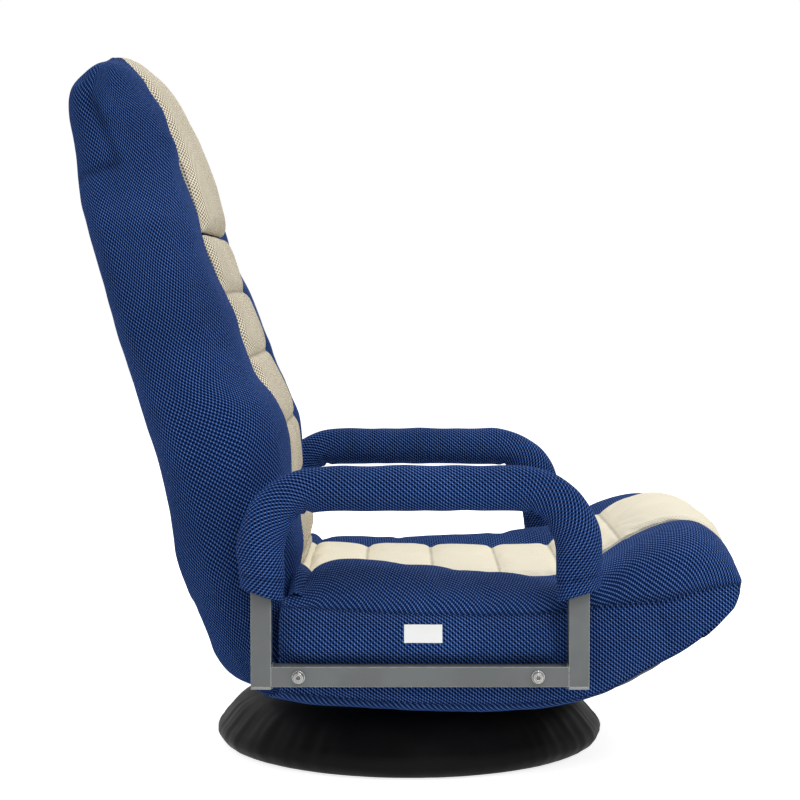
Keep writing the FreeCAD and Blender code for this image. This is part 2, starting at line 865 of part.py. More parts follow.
def back_cross_bars():
    half = back_cross_side / 2
    reach = back_tube_outer - back_tube_side
    bars = []
    for share in (back_cross_share, lumbar_cross_share):
        z = pivot_height + back_frame_reach * share
        bar = box(pivot_x - half, pivot_x + half, -reach, reach, z - half, z + half)
        bars.append(lean(bar))
    return Part.Compound(bars)


def head_hoop():
    low = pivot_height + back_frame_reach + back_tube_side / 2
    high = pivot_height + head_hoop_reach
    y = head_hoop_half_width
    points = [Vector(pivot_x, y, low), Vector(pivot_x, y, high), Vector(pivot_x, -y, high),
              Vector(pivot_x, -y, low)]
    return lean(swept(points, back_bend_radius, round_section(head_hoop_diameter / 2)))


# Back cushion and its cream panels

def spine(share):
    """The leaning centre line's place (x, z) at a share of the back's height."""
    return pivot_x - back_lean * share, pivot_height + back_height * share


def back_section(share, rear_share, front_share, width_share, corner_share):
    """The back cushion's closed outline in a level plane, from lines and arcs."""
    x, z = spine(share)
    rear = x - back_half_depth * rear_share
    front = x + back_half_depth * front_share
    half = back_half_width * width_share
    corner = min(back_corner * corner_share, (front - rear) * back_corner_limit_share)
    rear_crown = back_rear_crown * width_share
    bend = corner * (1 - math.sqrt(0.5))
    valley = front - back_front_dip * corner_share
    inner = panel_half_width

    def at(px, py):
        return Vector(px, py, z)

    crown = back_side_crown * corner_share
    middle = (rear + front) / 2
    wall = half - crown
    edges = [
        Part.Arc(at(rear, -(wall - corner)), at(rear - rear_crown, 0), at(rear, wall - corner)),
        Part.Arc(at(rear, wall - corner), at(rear + bend, wall - bend), at(rear + corner, wall)),
        Part.Arc(at(rear + corner, wall), at(middle, half), at(front - corner, wall)),
        Part.Arc(at(front - corner, wall), at(front - bend, wall - bend), at(front, wall - corner)),
        Part.LineSegment(at(front, wall - corner), at(valley, inner)),
        Part.LineSegment(at(valley, inner), at(valley, -inner)),
        Part.LineSegment(at(valley, -inner), at(front, -(wall - corner))),
        Part.Arc(at(front, -(wall - corner)), at(front - bend, -(wall - bend)), at(front - corner, -wall)),
        Part.Arc(at(front - corner, -wall), at(middle, -half), at(rear + corner, -wall)),
        Part.Arc(at(rear + corner, -wall), at(rear + bend, -(wall - bend)), at(rear, -(wall - corner))),
    ]
    return Part.Wire([edge.toShape() for edge in edges])


def barrel():
    """The rolled lower end of the back cushion, round the recline pivot."""
    half = back_half_width - shaft_gap
    roll = cylinder_y(barrel_radius, pivot_x, pivot_height, -half, half)
    return roll.makeFillet(barrel_end_round, [edge for edge in roll.Edges if edge.Closed])


def back_blank():
    sections = [back_section(*station) for station in back_station_shares]
    return fused([Part.makeLoft(sections, True, False), barrel()])


def station_place(share, front_share):
    """A place (x, z) in front of the leaning centre line."""
    x, z = spine(share)
    return x + back_half_depth * front_share, z


def offset_inwards(points, depth):
    """Places moved square to their line, to its left."""
    moved = []
    for i, (x, z) in enumerate(points):
        ax, az = points[max(i - 1, 0)]
        bx, bz = points[min(i + 1, len(points) - 1)]
        length = math.hypot(bx - ax, bz - az)
        moved.append((x - (bz - az) / length * depth, z + (bx - ax) / length * depth))
    return moved


def channel_wire(points, crowns, depth, y):
    """A closed outline with a bulging arc between each two grooves and a plain back."""
    edges = []
    for (ax, az), (bx, bz), crown in zip(points[:-1], points[1:], crowns):
        length = math.hypot(bx - ax, bz - az)
        mx = (ax + bx) / 2 + (bz - az) / length * crown
        mz = (az + bz) / 2 - (bx - ax) / length * crown
        edges.append(Part.Arc(Vector(ax, y, az), Vector(mx, y, mz), Vector(bx, y, bz)))
    back = offset_inwards(points, depth)[::-1]
    line = [points[-1]] + back + [points[0]]
    for (ax, az), (bx, bz) in zip(line[:-1], line[1:]):
        edges.append(Part.LineSegment(Vector(ax, y, az), Vector(bx, y, bz)))
    return Part.Wire([edge.toShape() for edge in edges])


def channel_panel(points, crowns, depth):
    """A panel with sewn channels, lower at its two side seams."""
    seam = panel_half_width
    shoulder = panel_half_width - panel_edge_round
    places = [(-seam, panel_edge_share), (-shoulder, 1.0), (shoulder, 1.0), (seam, panel_edge_share)]
    wires = [channel_wire(points, [crown * share for crown in crowns], depth, y) for y, share in places]
    return Part.makeLoft(wires, True, True)


def back_groove_places():
    return [station_place(*share) for share in back_groove_shares]


def back_centre_panel():
    places = back_groove_places()
    return channel_panel(places, [channel_crown] * (len(places) - 1), panel_depth)


def pillow_places():
    return [station_place(*share) for share in pillow_station_shares]


def head_pillow():
    places = pillow_places()
    return channel_panel(places, [pillow_crown] * (len(places) - 1), pillow_depth)


# Seat cushion and its cream panel

def seat_wire(y):
    """The seat cushion's side outline at a place across the chair."""
    reach = max(0, abs(y) - panel_half_width) / (seat_half_width - panel_half_width)
    roll = 1 - math.sqrt(1 - min(1, reach) ** 2)
    low_reach = max(0, abs(y) - seat_half_width + seat_under_round) / seat_under_round
    inset = side_face_inset if abs(y) > seat_half_width else 0
    under = seat_under_round * (1 - math.sqrt(1 - min(1, low_reach) ** 2) + inset / seat_edge_round)
    arch = 1 - min(1, abs(y) / seat_half_width) ** 2
    drop = seat_edge_round * roll + inset
    pull = drop * edge_pull_share
    top = seat_top_height + seat_crown * arch - drop
    lift = seat_crest_crown * arch - inset
    crest_top = crest_height + (crest_side_height - crest_height) * roll + lift
    rise_top = crest_rise_height + (crest_rise_side_height - crest_rise_height) * roll + lift
    nose_top = nose_height - inset
    fullness = brow_fullness + (brow_side_fullness - brow_fullness) * roll
    rear_round = seat_edge_round / 2
    bend = rear_round * (1 - math.sqrt(0.5))
    rear_top = top + seat_rear_rise * (1 - roll * rear_fall_share)

    def at(x, z):
        return Vector(x, y, z)

    rear = seat_rear_x + pull
    low_rear = bottom_rear_height + under
    low_front = bottom_height + under
    dip = at(seat_dip_x, top - seat_dip_drop)
    rise = at(crest_rise_x, rise_top)
    bow = at((crest_rise_x + crest_x) / 2, crest_top - (crest_top - rise_top) * crest_bow_share)
    crest = at(crest_x, crest_top)
    brow = at(crest_x + (nose_x - pull - crest_x) * brow_reach_share,
              crest_top + (nose_top - crest_top) * brow_reach_share + fullness)
    nose = at(nose_x - pull, nose_top)
    cheek = at((nose_x + chin_x) / 2 + nose_fullness - pull, (nose_top + chin_height) / 2)
    chin = at(chin_x - pull, chin_height)
    throat = at(throat_x, throat_height + under * throat_lift_share)
    edges = [
        Part.LineSegment(at(rear, low_rear), at(rear, rear_top - rear_round)),
        Part.Arc(at(rear, rear_top - rear_round), at(rear + bend, rear_top - bend),
                 at(rear + rear_round, rear_top)),
        Part.Arc(at(rear + rear_round, rear_top), at(0, top), dip),
        Part.Arc(dip, at(crest_foot_x, top + crest_foot_rise), rise),
        Part.Arc(rise, bow, crest),
        Part.Arc(crest, brow, nose),
        Part.Arc(nose, cheek, chin),
        Part.LineSegment(chin, throat),
        Part.LineSegment(throat, at(keel_x, keel_height + under)),
        Part.LineSegment(at(keel_x, keel_height + under), at(bottom_front_x, low_front)),
        Part.LineSegment(at(bottom_front_x, low_front), at(rear, low_rear)),
    ]
    return Part.Wire([edge.toShape() for edge in edges])


def seat_blank():
    reach = seat_half_width - panel_half_width
    half_places = [0, panel_half_width]
    half_places += [panel_half_width + reach * math.sin(share * math.pi / 2) for share in seat_round_shares]
    half_places.append(seat_half_width + seat_side_bulge)
    places = [-y for y in half_places[:0:-1]] + half_places
    return Part.makeLoft([seat_wire(y) for y in places], True, True)


def seat_heel():
    """The strip of the seat that reaches under the back's rolled end."""
    half = back_half_width + sweep_gap
    slope = (heel_tip_height - bottom_rear_height) / (heel_tip_x - seat_rear_x)
    front = seat_rear_x + cut_overrun
    low_front = bottom_rear_height + slope * cut_overrun
    points = [(heel_tip_x, heel_tip_height), (heel_tip_x, pivot_height - barrel_radius / 2),
              (front, pivot_height - barrel_radius / 2), (front, low_front)]
    return prism_y(points, -half, half)


def back_sweep():
    """The space that the back takes at its most forward place."""
    half = back_half_width + sweep_gap
    roll = cylinder_y(barrel_radius + sweep_gap, pivot_x, pivot_height, -half, half)
    faces = [station_place(height, front) for height, front in back_groove_shares[1:4]]
    crowned = [(x + channel_crown + sweep_gap, z) for x, z in faces]
    path = [turned(x, z, recline_forward_angle) for x, z in crowned]
    points = [(pivot_x, pivot_height), (pivot_x + barrel_radius + sweep_gap, pivot_height)] + path
    points.append((pivot_x, path[-1][1]))
    return roll.fuse(prism_y(points, -half, half))


def filled_round(soft, shapes):
    """A soft piece with room for the pieces inside it, and nothing left inside their tubes."""
    rest = soft.cut(shapes)
    return max(rest.Solids, key=lambda solid: solid.Volume)


def seat_panel_places():
    flat = [(nose_x * x, seat_top_height * z) for x, z in seat_groove_shares]
    return flat + [(crest_x * x, crest_height * z) for x, z in hump_shares]


def seat_centre_panel():
    flat = [channel_crown] * len(seat_groove_shares)
    hump = [channel_crown * hump_crown_share] * (len(hump_shares) - 1)
    return channel_panel(seat_panel_places()[::-1], (flat + hump)[::-1], panel_depth)


def cover_wire(y, fullness):
    """The dust cover's outline at a place across the chair, with its sagging front."""
    keel = throat_height - (throat_height - belly_low_height) * fullness
    front = throat_x + (belly_x - throat_x) * fullness
    points = [(seat_rear_x, bottom_rear_height - cover_thickness),
              (bottom_front_x, bottom_height - cover_thickness), (belly_low_x, keel),
              (front, belly_height + (belly_top_height - belly_height) * (1 - fullness) / 2),
              (front, belly_top_height), (keel_x, belly_top_height),
              (seat_rear_x, bottom_rear_height + cover_thickness)]
    corners = [Vector(x, y, z) for x, z in points]
    return Part.makePolygon(corners + corners[:1])


def bottom_cover_blank():
    places = [(-1.0, belly_side_share), (-belly_full_share, 1.0),
              (belly_full_share, 1.0), (1.0, belly_side_share)]
    wires = [cover_wire(cover_half_width * across, fullness) for across, fullness in places]
    return Part.makeLoft(wires, True, True)


def side_tag():
    inner = seat_half_width + seat_side_bulge
    return mirrored(box(tag_rear_x, tag_rear_x + tag_length, inner, inner + tag_thickness,
                        tag_bottom, tag_bottom + tag_height))


def build():
    parts = {
        "base_ring": base_ring(),
        "base_feet": base_feet(),
        "base_spokes": base_spokes(),
        "base_hub_plate": base_hub(),
        "base_skirt": base_skirt(),
        "turntable_lower_plate": turntable_lower_plate(),
        "turntable_upper_plate": turntable_upper_plate(),
        "turntable_rivet": turntable_rivet(),
        "turntable_balls": turntable_balls(),
        "turntable_ball_cage": turntable_ball_cage(),
        "turntable_base_screws": turntable_base_screws(),
        "turntable_base_nuts": turntable_base_nuts(),
        "turntable_seat_screws": turntable_seat_screws(),
        "turntable_seat_nuts": turntable_seat_nuts(),
        "turntable_risers": turntable_risers(),
        "seat_frame": seat_frame(),
        "seat_cross_bars": seat_cross_bars(),
        "arm_end_caps": arm_end_caps(),
        "arm_flat_washers": arm_flat_washers(),
        "arm_lock_washers": arm_lock_washers(),
        "arm_spacers": arm_spacers(),
        "arm_screws": arm_screws(),
        "arm_nuts": arm_nuts(),
        "hinge_seat_leaves": pair(hinge_seat_leaf()),
        "hinge_pawls": pair(hinge_pawl()),
        "hinge_springs": pair(hinge_spring()),
        "hinge_back_leaves": pair(hinge_back_leaf()),
        "hinge_pins": pair(hinge_pin()),
        "back_frame": back_frame(),
        "back_cross_bars": back_cross_bars(),
        "head_hoop": head_hoop(),
        "side_tag": side_tag(),
    }
    for name, maker in (("arm_tube", arm_tube), ("arm_rail", arm_rail), ("arm_foam", arm_foam),
                        ("arm_sleeve", arm_sleeve)):
        left = maker()
        parts[name + "_left"] = left
        parts[name + "_right"] = mirrored(left)
    return parts


def add_soft_parts(parts):
    """The cushions, cut to fit their panels, frames and hinges."""
    parts["head_pillow"] = head_pillow()
    parts["back_centre_panel"] = back_centre_panel()
    slot = hinge_sweep(soft_gap, back_leaf_inner - leaf_gap, seat_leaf_outer + leaf_gap + soft_gap)
    names = ("head_pillow", "back_centre_panel", "back_cross_bars", "head_hoop", "back_frame",
             "hinge_back_leaves", "hinge_pins")
    inside = [parts[name] for name in names] + [slot, mirrored(slot)]
    parts["back_cushion"] = filled_round(back_blank(), inside)
    sweep = back_sweep()
    parts["seat_centre_panel"] = filled_round(seat_centre_panel(), [sweep])
    names = ("seat_centre_panel", "seat_frame", "seat_cross_bars", "turntable_risers", "hinge_seat_leaves",
             "arm_spacers", "arm_nuts", "arm_screws")
    inside = [parts[name] for name in names] + [sweep]
    body = fused([seat_blank(), seat_heel()])
    parts["seat_cushion"] = filled_round(body, inside)
    parts["bottom_cover"] = filled_round(bottom_cover_blank(), [body, sweep, parts["turntable_risers"]])


def export(parts):
    os.makedirs("parts", exist_ok=True)
    for name, shape in sorted(parts.items()):
        shape.exportStep("parts/" + name + ".step")
        state = "valid" if shape.isValid() else "NOT VALID"
        print(name, len(shape.Solids), "solids", round(shape.Volume / 1000, 1), "cm3", state)


parts = build()
add_soft_parts(parts)
export(parts)
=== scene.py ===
# %% [markdown]
# # A floor chair that turns and reclines
#
# The chair has no legs. A round base in a black fabric skirt carries a turntable, and on the turntable sits
# a steel frame with a thick seat cushion. Two bent square tubes make the arms, and the back folds down on a
# ratchet hinge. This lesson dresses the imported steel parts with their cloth, foam and paint.

import bpy
import bmesh
import json
import math
import numpy as np
from mathutils import Matrix, Vector, kdtree, noise


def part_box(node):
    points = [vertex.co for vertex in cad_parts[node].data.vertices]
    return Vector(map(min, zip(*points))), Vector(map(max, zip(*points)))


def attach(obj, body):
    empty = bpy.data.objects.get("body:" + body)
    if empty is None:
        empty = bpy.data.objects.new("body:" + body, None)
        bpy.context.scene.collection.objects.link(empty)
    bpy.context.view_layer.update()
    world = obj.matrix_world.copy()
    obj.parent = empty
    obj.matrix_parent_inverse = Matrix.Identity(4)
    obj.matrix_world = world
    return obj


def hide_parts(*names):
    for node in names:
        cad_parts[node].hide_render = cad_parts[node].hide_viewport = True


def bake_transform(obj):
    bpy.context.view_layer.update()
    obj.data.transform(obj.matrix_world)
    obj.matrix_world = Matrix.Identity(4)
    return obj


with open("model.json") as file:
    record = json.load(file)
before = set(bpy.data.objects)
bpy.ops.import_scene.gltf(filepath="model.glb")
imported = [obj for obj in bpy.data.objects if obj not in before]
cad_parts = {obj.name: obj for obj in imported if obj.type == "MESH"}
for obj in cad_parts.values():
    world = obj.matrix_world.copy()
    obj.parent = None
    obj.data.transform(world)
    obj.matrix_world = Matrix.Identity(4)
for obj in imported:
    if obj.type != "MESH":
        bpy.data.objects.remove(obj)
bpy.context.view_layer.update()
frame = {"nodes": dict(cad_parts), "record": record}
nodes = frame["nodes"]

# %% [markdown]
# ## Working as by hand
#
# Blender's operators act on whatever is selected, so every step starts by selecting one piece and nothing
# else. A modifier is added, given its values and applied at once, which leaves a plain mesh.

# %% Select one piece, apply one modifier
def pick(*pieces):
    """Nothing is selected but these pieces, and the last one is active."""
    bpy.ops.object.select_all(action="DESELECT")
    for piece in pieces:
        piece.select_set(True)
        bpy.context.view_layer.objects.active = piece


def apply_modifier(piece, kind, **values):
    """Adds a modifier, sets its values and applies it."""
    pick(piece)
    modifier = piece.modifiers.new("step", kind)
    for key, value in values.items():
        setattr(modifier, key, value)
    bpy.ops.object.modifier_apply(modifier=modifier.name)


# %% [markdown]
# ## Lines through given points
#
# A cushion is drawn like a dress pattern: a few points are placed, a smooth line goes through them, and the
# line is divided into even steps. Points spaced unevenly need slopes that know their spacing, and numpy's
# gradient gives those.

# %% Smooth lines and even steps
def mm(values):
    """Places written down in millimetres, as metres."""
    return np.array(values, float) / 1000


def smooth_at(places, values, at):
    """Values on a smooth line through unevenly spaced points."""
    places, values, at = np.asarray(places, float), np.asarray(values, float), np.asarray(at, float)
    slopes = np.gradient(values, places, axis=0)
    i = np.clip(np.searchsorted(places, at) - 1, 0, len(places) - 2)
    gap = places[i + 1] - places[i]
    t = np.clip((at - places[i]) / gap, 0, 1)
    if values.ndim > 1:
        t, gap = t[:, None], gap[:, None]
    start, end = 2 * t**3 - 3 * t**2 + 1, 3 * t**2 - 2 * t**3
    return (start * values[i] + end * values[i + 1]
            + (t**3 - 2 * t**2 + t) * gap * slopes[i] + (t**3 - t**2) * gap * slopes[i + 1])


def run_of(line):
    """The distance along a line to each of its points."""
    return np.concatenate([[0.0], np.cumsum(np.linalg.norm(np.diff(line, axis=0), axis=1))])


def even(line, count):
    """A line divided into equal steps."""
    line = np.asarray(line, float)
    run = run_of(line)
    at = np.linspace(0, run[-1], count + 1)
    return np.stack([np.interp(at, run, line[:, k]) for k in range(line.shape[1])], axis=1)


def smooth_line(points, count):
    """A smooth line through points, in equal steps."""
    points = np.asarray(points, float)
    run = run_of(points)
    return even(smooth_at(run, points, np.linspace(0, run[-1], 40 * len(points))), count)


def quarter(count):
    """Shares of a quarter circle: how far along, how far up."""
    turn = np.linspace(0, math.pi / 2, count + 1)
    return np.sin(turn), 1 - np.cos(turn)


def slopes_of(line):
    """The direction of a line at each of its points."""
    slope = np.gradient(line, run_of(line), axis=0)
    return slope / np.linalg.norm(slope, axis=1)[:, None]


def both_sides(*lines):
    """Lines given in millimetres for the left side of the chair, on both sides."""
    return [mm(line) * (1, side, 1) for side in (-1, 1) for line in lines]


# %% [markdown]
# ## A sewn shell
#
# Each cushion cover is one closed skin. Rings of points are laid side by side and joined with four-sided
# faces, and both ends are closed with a grid that is stretched between the four sides of the last ring. An
# even grid lets cloth wrinkle like cloth, and its rows carry the fabric's own coordinates, measured in
# metres along the surface, so the knitted holes keep their size everywhere.

# %% Rings into a skin with cloth coordinates
def stretched_grid(low, high, left, right):
    """A grid of points between four edge lines that share their corners."""
    u = np.linspace(0, 1, len(low))[None, :, None]
    v = np.linspace(0, 1, len(left))[:, None, None]
    corners = ((1 - u) * (1 - v) * low[0] + u * (1 - v) * low[-1]
               + (1 - u) * v * high[0] + u * v * high[-1])
    return (1 - v) * low[None] + v * high[None] + (1 - u) * left[:, None] + u * right[:, None] - corners


def mesh_piece(name, points, faces, cloth):
    """A mesh object with one pair of cloth coordinates for each corner of each face."""
    mesh = bpy.data.meshes.new(name)
    mesh.from_pydata([tuple(p) for p in points], [], faces)
    layer = mesh.uv_layers.new(name="cloth")
    layer.data.foreach_set("uv", np.asarray(cloth, np.float32).ravel())
    piece = bpy.data.objects.new(name, mesh)
    bpy.context.scene.collection.objects.link(piece)
    tidy = bmesh.new()
    tidy.from_mesh(mesh)
    bmesh.ops.recalc_face_normals(tidy, faces=tidy.faces)
    tidy.to_mesh(mesh)
    tidy.free()
    pick(piece)
    bpy.ops.object.shade_smooth()
    return piece


def squares(rows, across):
    """The four corners of every square of a grid, each as its row and its place in the row."""
    return [((i, j), (i, j + 1), (i + 1, j + 1), (i + 1, j)) for i in range(rows) for j in range(across)]


def sheet_piece(name, points, columns, cloth_at, closed=False):
    """One sheet over rows of points. cloth_at gives the cloth coordinates, closed joins the rows' ends."""
    cells = squares(len(points) // columns - 1, columns if closed else columns - 1)
    faces = [tuple(i * columns + j % columns for i, j in corners) for corners in cells]
    return mesh_piece(name, points, faces, [cloth_at(i, j) for corners in cells for i, j in corners])


def sewn_shell(name, rings, long_count, short_count, cap_axes, cap_bulge=0.0):
    """A closed skin over rings that each have two long and two short sides. Caps close both ends."""
    rows, around = rings.shape[:2]
    points = [p for ring in rings for p in ring]
    wrapped = np.concatenate([rings, rings[:, :1]], axis=1)
    across = run_of(wrapped[rows // 2])
    along = np.concatenate([np.zeros((1, around + 1)),
                            np.cumsum(np.linalg.norm(np.diff(wrapped, axis=0), axis=2), axis=0)])
    along -= along[rows // 2]
    cells = squares(rows - 1, around)
    faces = [tuple(i * around + j % around for i, j in corners) for corners in cells]
    cloth = [(across[j], along[i, j]) for corners in cells for i, j in corners]
    a, b = long_count, short_count
    border = ([(0, u) for u in range(a)] + [(v, a) for v in range(b)]
              + [(b, u) for u in range(a, 0, -1)] + [(v, 0) for v in range(b, 0, -1)])
    up_arch, long_arch = (np.sin(np.linspace(0, math.pi, count + 1)) for count in (b, a))
    swell = up_arch[:, None] ** 0.6 * long_arch ** 0.4
    for row, sign in ((0, -1), (rows - 1, 1)):
        ring = wrapped[row]
        grid = stretched_grid(ring[:a + 1], ring[a + b:2 * a + b + 1][::-1],
                              ring[2 * a + b:][::-1], ring[a:a + b + 1])
        outwards = rings[row].mean(axis=0) - rings[row - sign].mean(axis=0)
        outwards /= np.linalg.norm(outwards)
        grid = grid + swell[:, :, None] * outwards * cap_bulge
        number = np.zeros((b + 1, a + 1), int)
        for k, corner in enumerate(border):
            number[corner] = row * around + k
        for v in range(1, b):
            for u in range(1, a):
                number[v, u] = len(points)
                points.append(grid[v, u])
        for corners in squares(b, a):
            faces.append(tuple(int(number[c]) for c in corners))
            cloth += [(grid[c][cap_axes[0]], grid[c][cap_axes[1]]) for c in corners]
    return mesh_piece(name, points, faces, cloth)


# %% [markdown]
# ## Foam that pushes, seams that hold
#
# Blender's cloth solver blows each cover up from inside, while the vertices along its seams are held still.
# The cloth then crowns between the seams and puckers beside them, as over real foam. How far a point may
# move is limited, so the chair keeps its measured outline.

# %% Puff a cover between its seams
last_frame = 20


def coordinates(mesh, kind="co"):
    """Where every vertex is, or its normal."""
    flat = np.zeros(len(mesh.vertices) * 3)
    mesh.vertices.foreach_get(kind, flat)
    return flat.reshape(-1, 3)


def set_coordinates(mesh, points):
    mesh.vertices.foreach_set("co", np.asarray(points, float).ravel())
    mesh.update()


def puff(piece, held, pressure, slack, limit):
    """Cloth pressure from inside with some points held still. slack is the extra cloth as a share."""
    before = coordinates(piece.data)
    group = piece.vertex_groups.new(name="held")
    group.add([int(i) for i in held], 1.0, "REPLACE")
    cloth = piece.modifiers.new("Cloth", "CLOTH")
    cloth.settings.quality = 4
    cloth.settings.use_pressure = True
    cloth.settings.uniform_pressure_force = pressure
    cloth.settings.shrink_min = -slack
    cloth.settings.vertex_group_mass = "held"
    cloth.settings.effector_weights.gravity = 0
    cloth.collision_settings.use_collision = False
    cloth.point_cache.frame_start = 1
    cloth.point_cache.frame_end = last_frame
    for number in range(1, last_frame + 1):
        bpy.context.scene.frame_set(number)
    after = coordinates(piece.evaluated_get(bpy.context.evaluated_depsgraph_get()).data)
    piece.modifiers.remove(cloth)
    piece.vertex_groups.remove(group)
    bpy.context.scene.frame_set(1)
    step = after - before
    length = np.maximum(np.linalg.norm(step, axis=1), 1e-9)
    step *= (np.minimum(length, limit) / length)[:, None]
    set_coordinates(piece.data, before + step)
    print(piece.name, "puffed, mean move", round(float(length.mean()) * 1000, 2), "mm, most",
          round(float(length.max()) * 1000, 1), "mm")


# %% [markdown]
# Seams come after the puffing. A seam draws the cover in along a line and leaves a shallow valley, and the
# depth of that valley is also kept on the mesh, so that the fabric's colour can carry painted shade where it
# folds into the stitches.

# %% Draw a cover in along its seams
def draw_in(piece, lines, depth, width):
    """Moves the skin inwards near lines of points, and keeps how near as painted shade for the seam."""
    marks = np.concatenate([even(line, max(2, int(run_of(line)[-1] / 0.002))) for line in lines])
    tree = kdtree.KDTree(len(marks))
    for i, mark in enumerate(marks):
        tree.insert(mark, i)
    tree.balance()
    points, outwards = coordinates(piece.data), coordinates(piece.data, "normal")
    reach = np.array([tree.find(p)[2] for p in points])
    near = np.exp(-(reach / width) ** 2)
    set_coordinates(piece.data, points - outwards * (near * depth)[:, None])
    layer = piece.data.attributes.get("seam") or piece.data.attributes.new("seam", "FLOAT", "POINT")
    darker = np.zeros(len(points))
    layer.data.foreach_get("value", darker)
    # The attribute is painted shade: the nearer a seam, the darker the fabric.
    painted_seam_shade_mask = np.exp(-(reach / (width * 0.6)) ** 2)
    layer.data.foreach_set("value", np.maximum(darker, painted_seam_shade_mask).astype(np.float32))


def soften(piece, size, height, seed, levels=1):
    """Gentle unevenness of hand-filled covers."""
    if levels:
        apply_modifier(piece, "SUBSURF", levels=levels, render_levels=levels)
    points, outwards = coordinates(piece.data), coordinates(piece.data, "normal")
    shift = Vector((seed * 1.7, seed * 0.9, seed * 2.3))
    lift = np.array([noise.noise(Vector(p) / size + shift) for p in points]) * height
    set_coordinates(piece.data, points + outwards * lift[:, None])


# %% [markdown]
# ## Finishes
#
# The covers are knitted spacer mesh: a staggered grid of small dark holes between bright threads. Cloth
# coordinates are in metres, so the hole pattern is plain arithmetic. One cell of the grid has a hole at its
# middle and one at its corners. How far a cell reaches along and across the cloth is given to each fabric
# as two arrows, because the knit lies straight on the seat and slanting on the back.

# %% Small tools for shader nodes
def new_group(name, inputs, outputs):
    """An empty node group. An input's first value is given, or None for a vector."""
    group = bpy.data.node_groups.new(name, "ShaderNodeTree")
    for socket, value in inputs.items():
        kind = "NodeSocketVector" if value is None else "NodeSocketFloat"
        made = group.interface.new_socket(socket, in_out="INPUT", socket_type=kind)
        if value is not None:
            made.default_value = value
    for socket in outputs:
        kind = "NodeSocketVector" if socket == "Normal" else "NodeSocketFloat"
        group.interface.new_socket(socket, in_out="OUTPUT", socket_type=kind)
    return group, group.nodes.new("NodeGroupInput").outputs, group.nodes.new("NodeGroupOutput")


def feed(node, **inputs):
    """Sets or links a node's inputs, which are named, or numbered as in i0 and i1."""
    for key, value in inputs.items():
        socket = node.inputs[int(key[1:]) if key[1:].isdigit() else key.replace("_", " ")]
        if isinstance(value, bpy.types.NodeSocket):
            node.id_data.links.new(value, socket)
        else:
            socket.default_value = value
    return node


def place(tree, kind, settings=None, **inputs):
    """Adds a shader node with its options and its inputs."""
    node = tree.nodes.new("ShaderNode" + kind)
    for key, value in (settings or {}).items():
        setattr(node, key, value)
    return feed(node, **inputs)


def maths(tree, operation, *values):
    """One step of arithmetic."""
    inputs = {"i%d" % i: value for i, value in enumerate(values)}
    return place(tree, "Math", {"operation": operation}, **inputs).outputs[0]


def vectors(tree, operation, *values):
    """One step of arithmetic on vectors."""
    inputs = {"i%d" % i: value for i, value in enumerate(values)}
    node = place(tree, "VectorMath", {"operation": operation}, **inputs)
    return node.outputs["Value" if operation in ("LENGTH", "DOT_PRODUCT") else "Vector"]


def between(tree, value, low, high, first=0.0, last=1.0):
    """A smooth step from one value to another."""
    return place(tree, "MapRange", {"interpolation_type": "SMOOTHSTEP"},
                 i0=value, i1=low, i2=high, i3=first, i4=last).outputs[0]


def mixed(tree, share, first, second):
    """A colour between two."""
    return place(tree, "Mix", {"data_type": "RGBA"}, i0=share, i6=first, i7=second).outputs[2]


def patches(tree, scale, detail):
    """Soft noise that stays with the piece."""
    spot = place(tree, "TexCoord").outputs["Object"]
    return place(tree, "TexNoise", Vector=spot, Scale=scale, Detail=detail).outputs[0]


def bumped(tree, height, strength, distance, **more):
    """The normals of a surface that rises and falls with a height."""
    return place(tree, "Bump", Height=height, Strength=strength, Distance=distance, **more).outputs[0]


# %% The knitted mesh
def make_knit():
    group, start, end = new_group("knitted mesh", {"Cells": None, "Wide": 5.6, "High": 4.3, "Hole": 1.15},
                                  ("Hole", "Thread", "Height"))
    spot, size = start["Cells"], start["Hole"]
    cell = place(group, "CombineXYZ", X=start["Wide"], Y=start["High"]).outputs[0]
    reach = []
    for shift in ((0.0, 0.0, 0.0), (0.5, 0.5, 0.0)):
        moved = vectors(group, "ADD", spot, shift)
        inside = vectors(group, "SUBTRACT", vectors(group, "FRACTION", moved), (0.5, 0.5, 0.0))
        flat = vectors(group, "MULTIPLY", vectors(group, "MULTIPLY", inside, cell), (1.0, 1.0, 0.0))
        reach.append(vectors(group, "LENGTH", flat))
    nearest = maths(group, "MINIMUM", *reach)
    inner, outer, far = [maths(group, "MULTIPLY", size, share) for share in (0.72, 1.28, 1.75)]
    hole = between(group, nearest, inner, outer, 1.0, 0.0)
    # The ridge round each hole lightens the thread: a painted highlight.
    ridge = between(group, nearest, size, far)
    drawn = vectors(group, "MULTIPLY", spot, (14.0, 4.0, 1.0))
    strands = place(group, "TexNoise", {"noise_dimensions": "2D"}, Vector=drawn, Scale=1.0, Detail=1.0)
    # Bright dashes between holes along one diagonal: a painted highlight.
    painted_dash_highlight = maths(group, "COSINE", vectors(group, "DOT_PRODUCT", spot, (2 * math.pi, -2 * math.pi, 0.0)))
    fine = strands.outputs[0]
    # The thread mask is strand noise, the yarn's own tone, plus the painted highlights.
    strand_and_ridge_highlight = maths(group, "MULTIPLY_ADD", fine, 0.45, maths(group, "MULTIPLY", ridge, 0.3))
    height = maths(group, "MULTIPLY_ADD", fine, 0.2, maths(group, "SUBTRACT", 1.0, hole))
    feed(end, Hole=hole, Thread=maths(group, "MULTIPLY_ADD", painted_dash_highlight, 0.20, strand_and_ridge_highlight), Height=height)
    return group


knit = make_knit()
print("node group:", knit.name)

# %% [markdown]
# A mesh fabric is then its own colours placed on that pattern. It is turned on the cloth to lie as the knit
# lies on the piece, worn a little paler and darker in soft patches, and given painted shade inside the seams.
# Its threads carry a painted highlight, and its holes painted shade. A sheen on the shader gives the bright
# rim that fabric shows where it turns away.

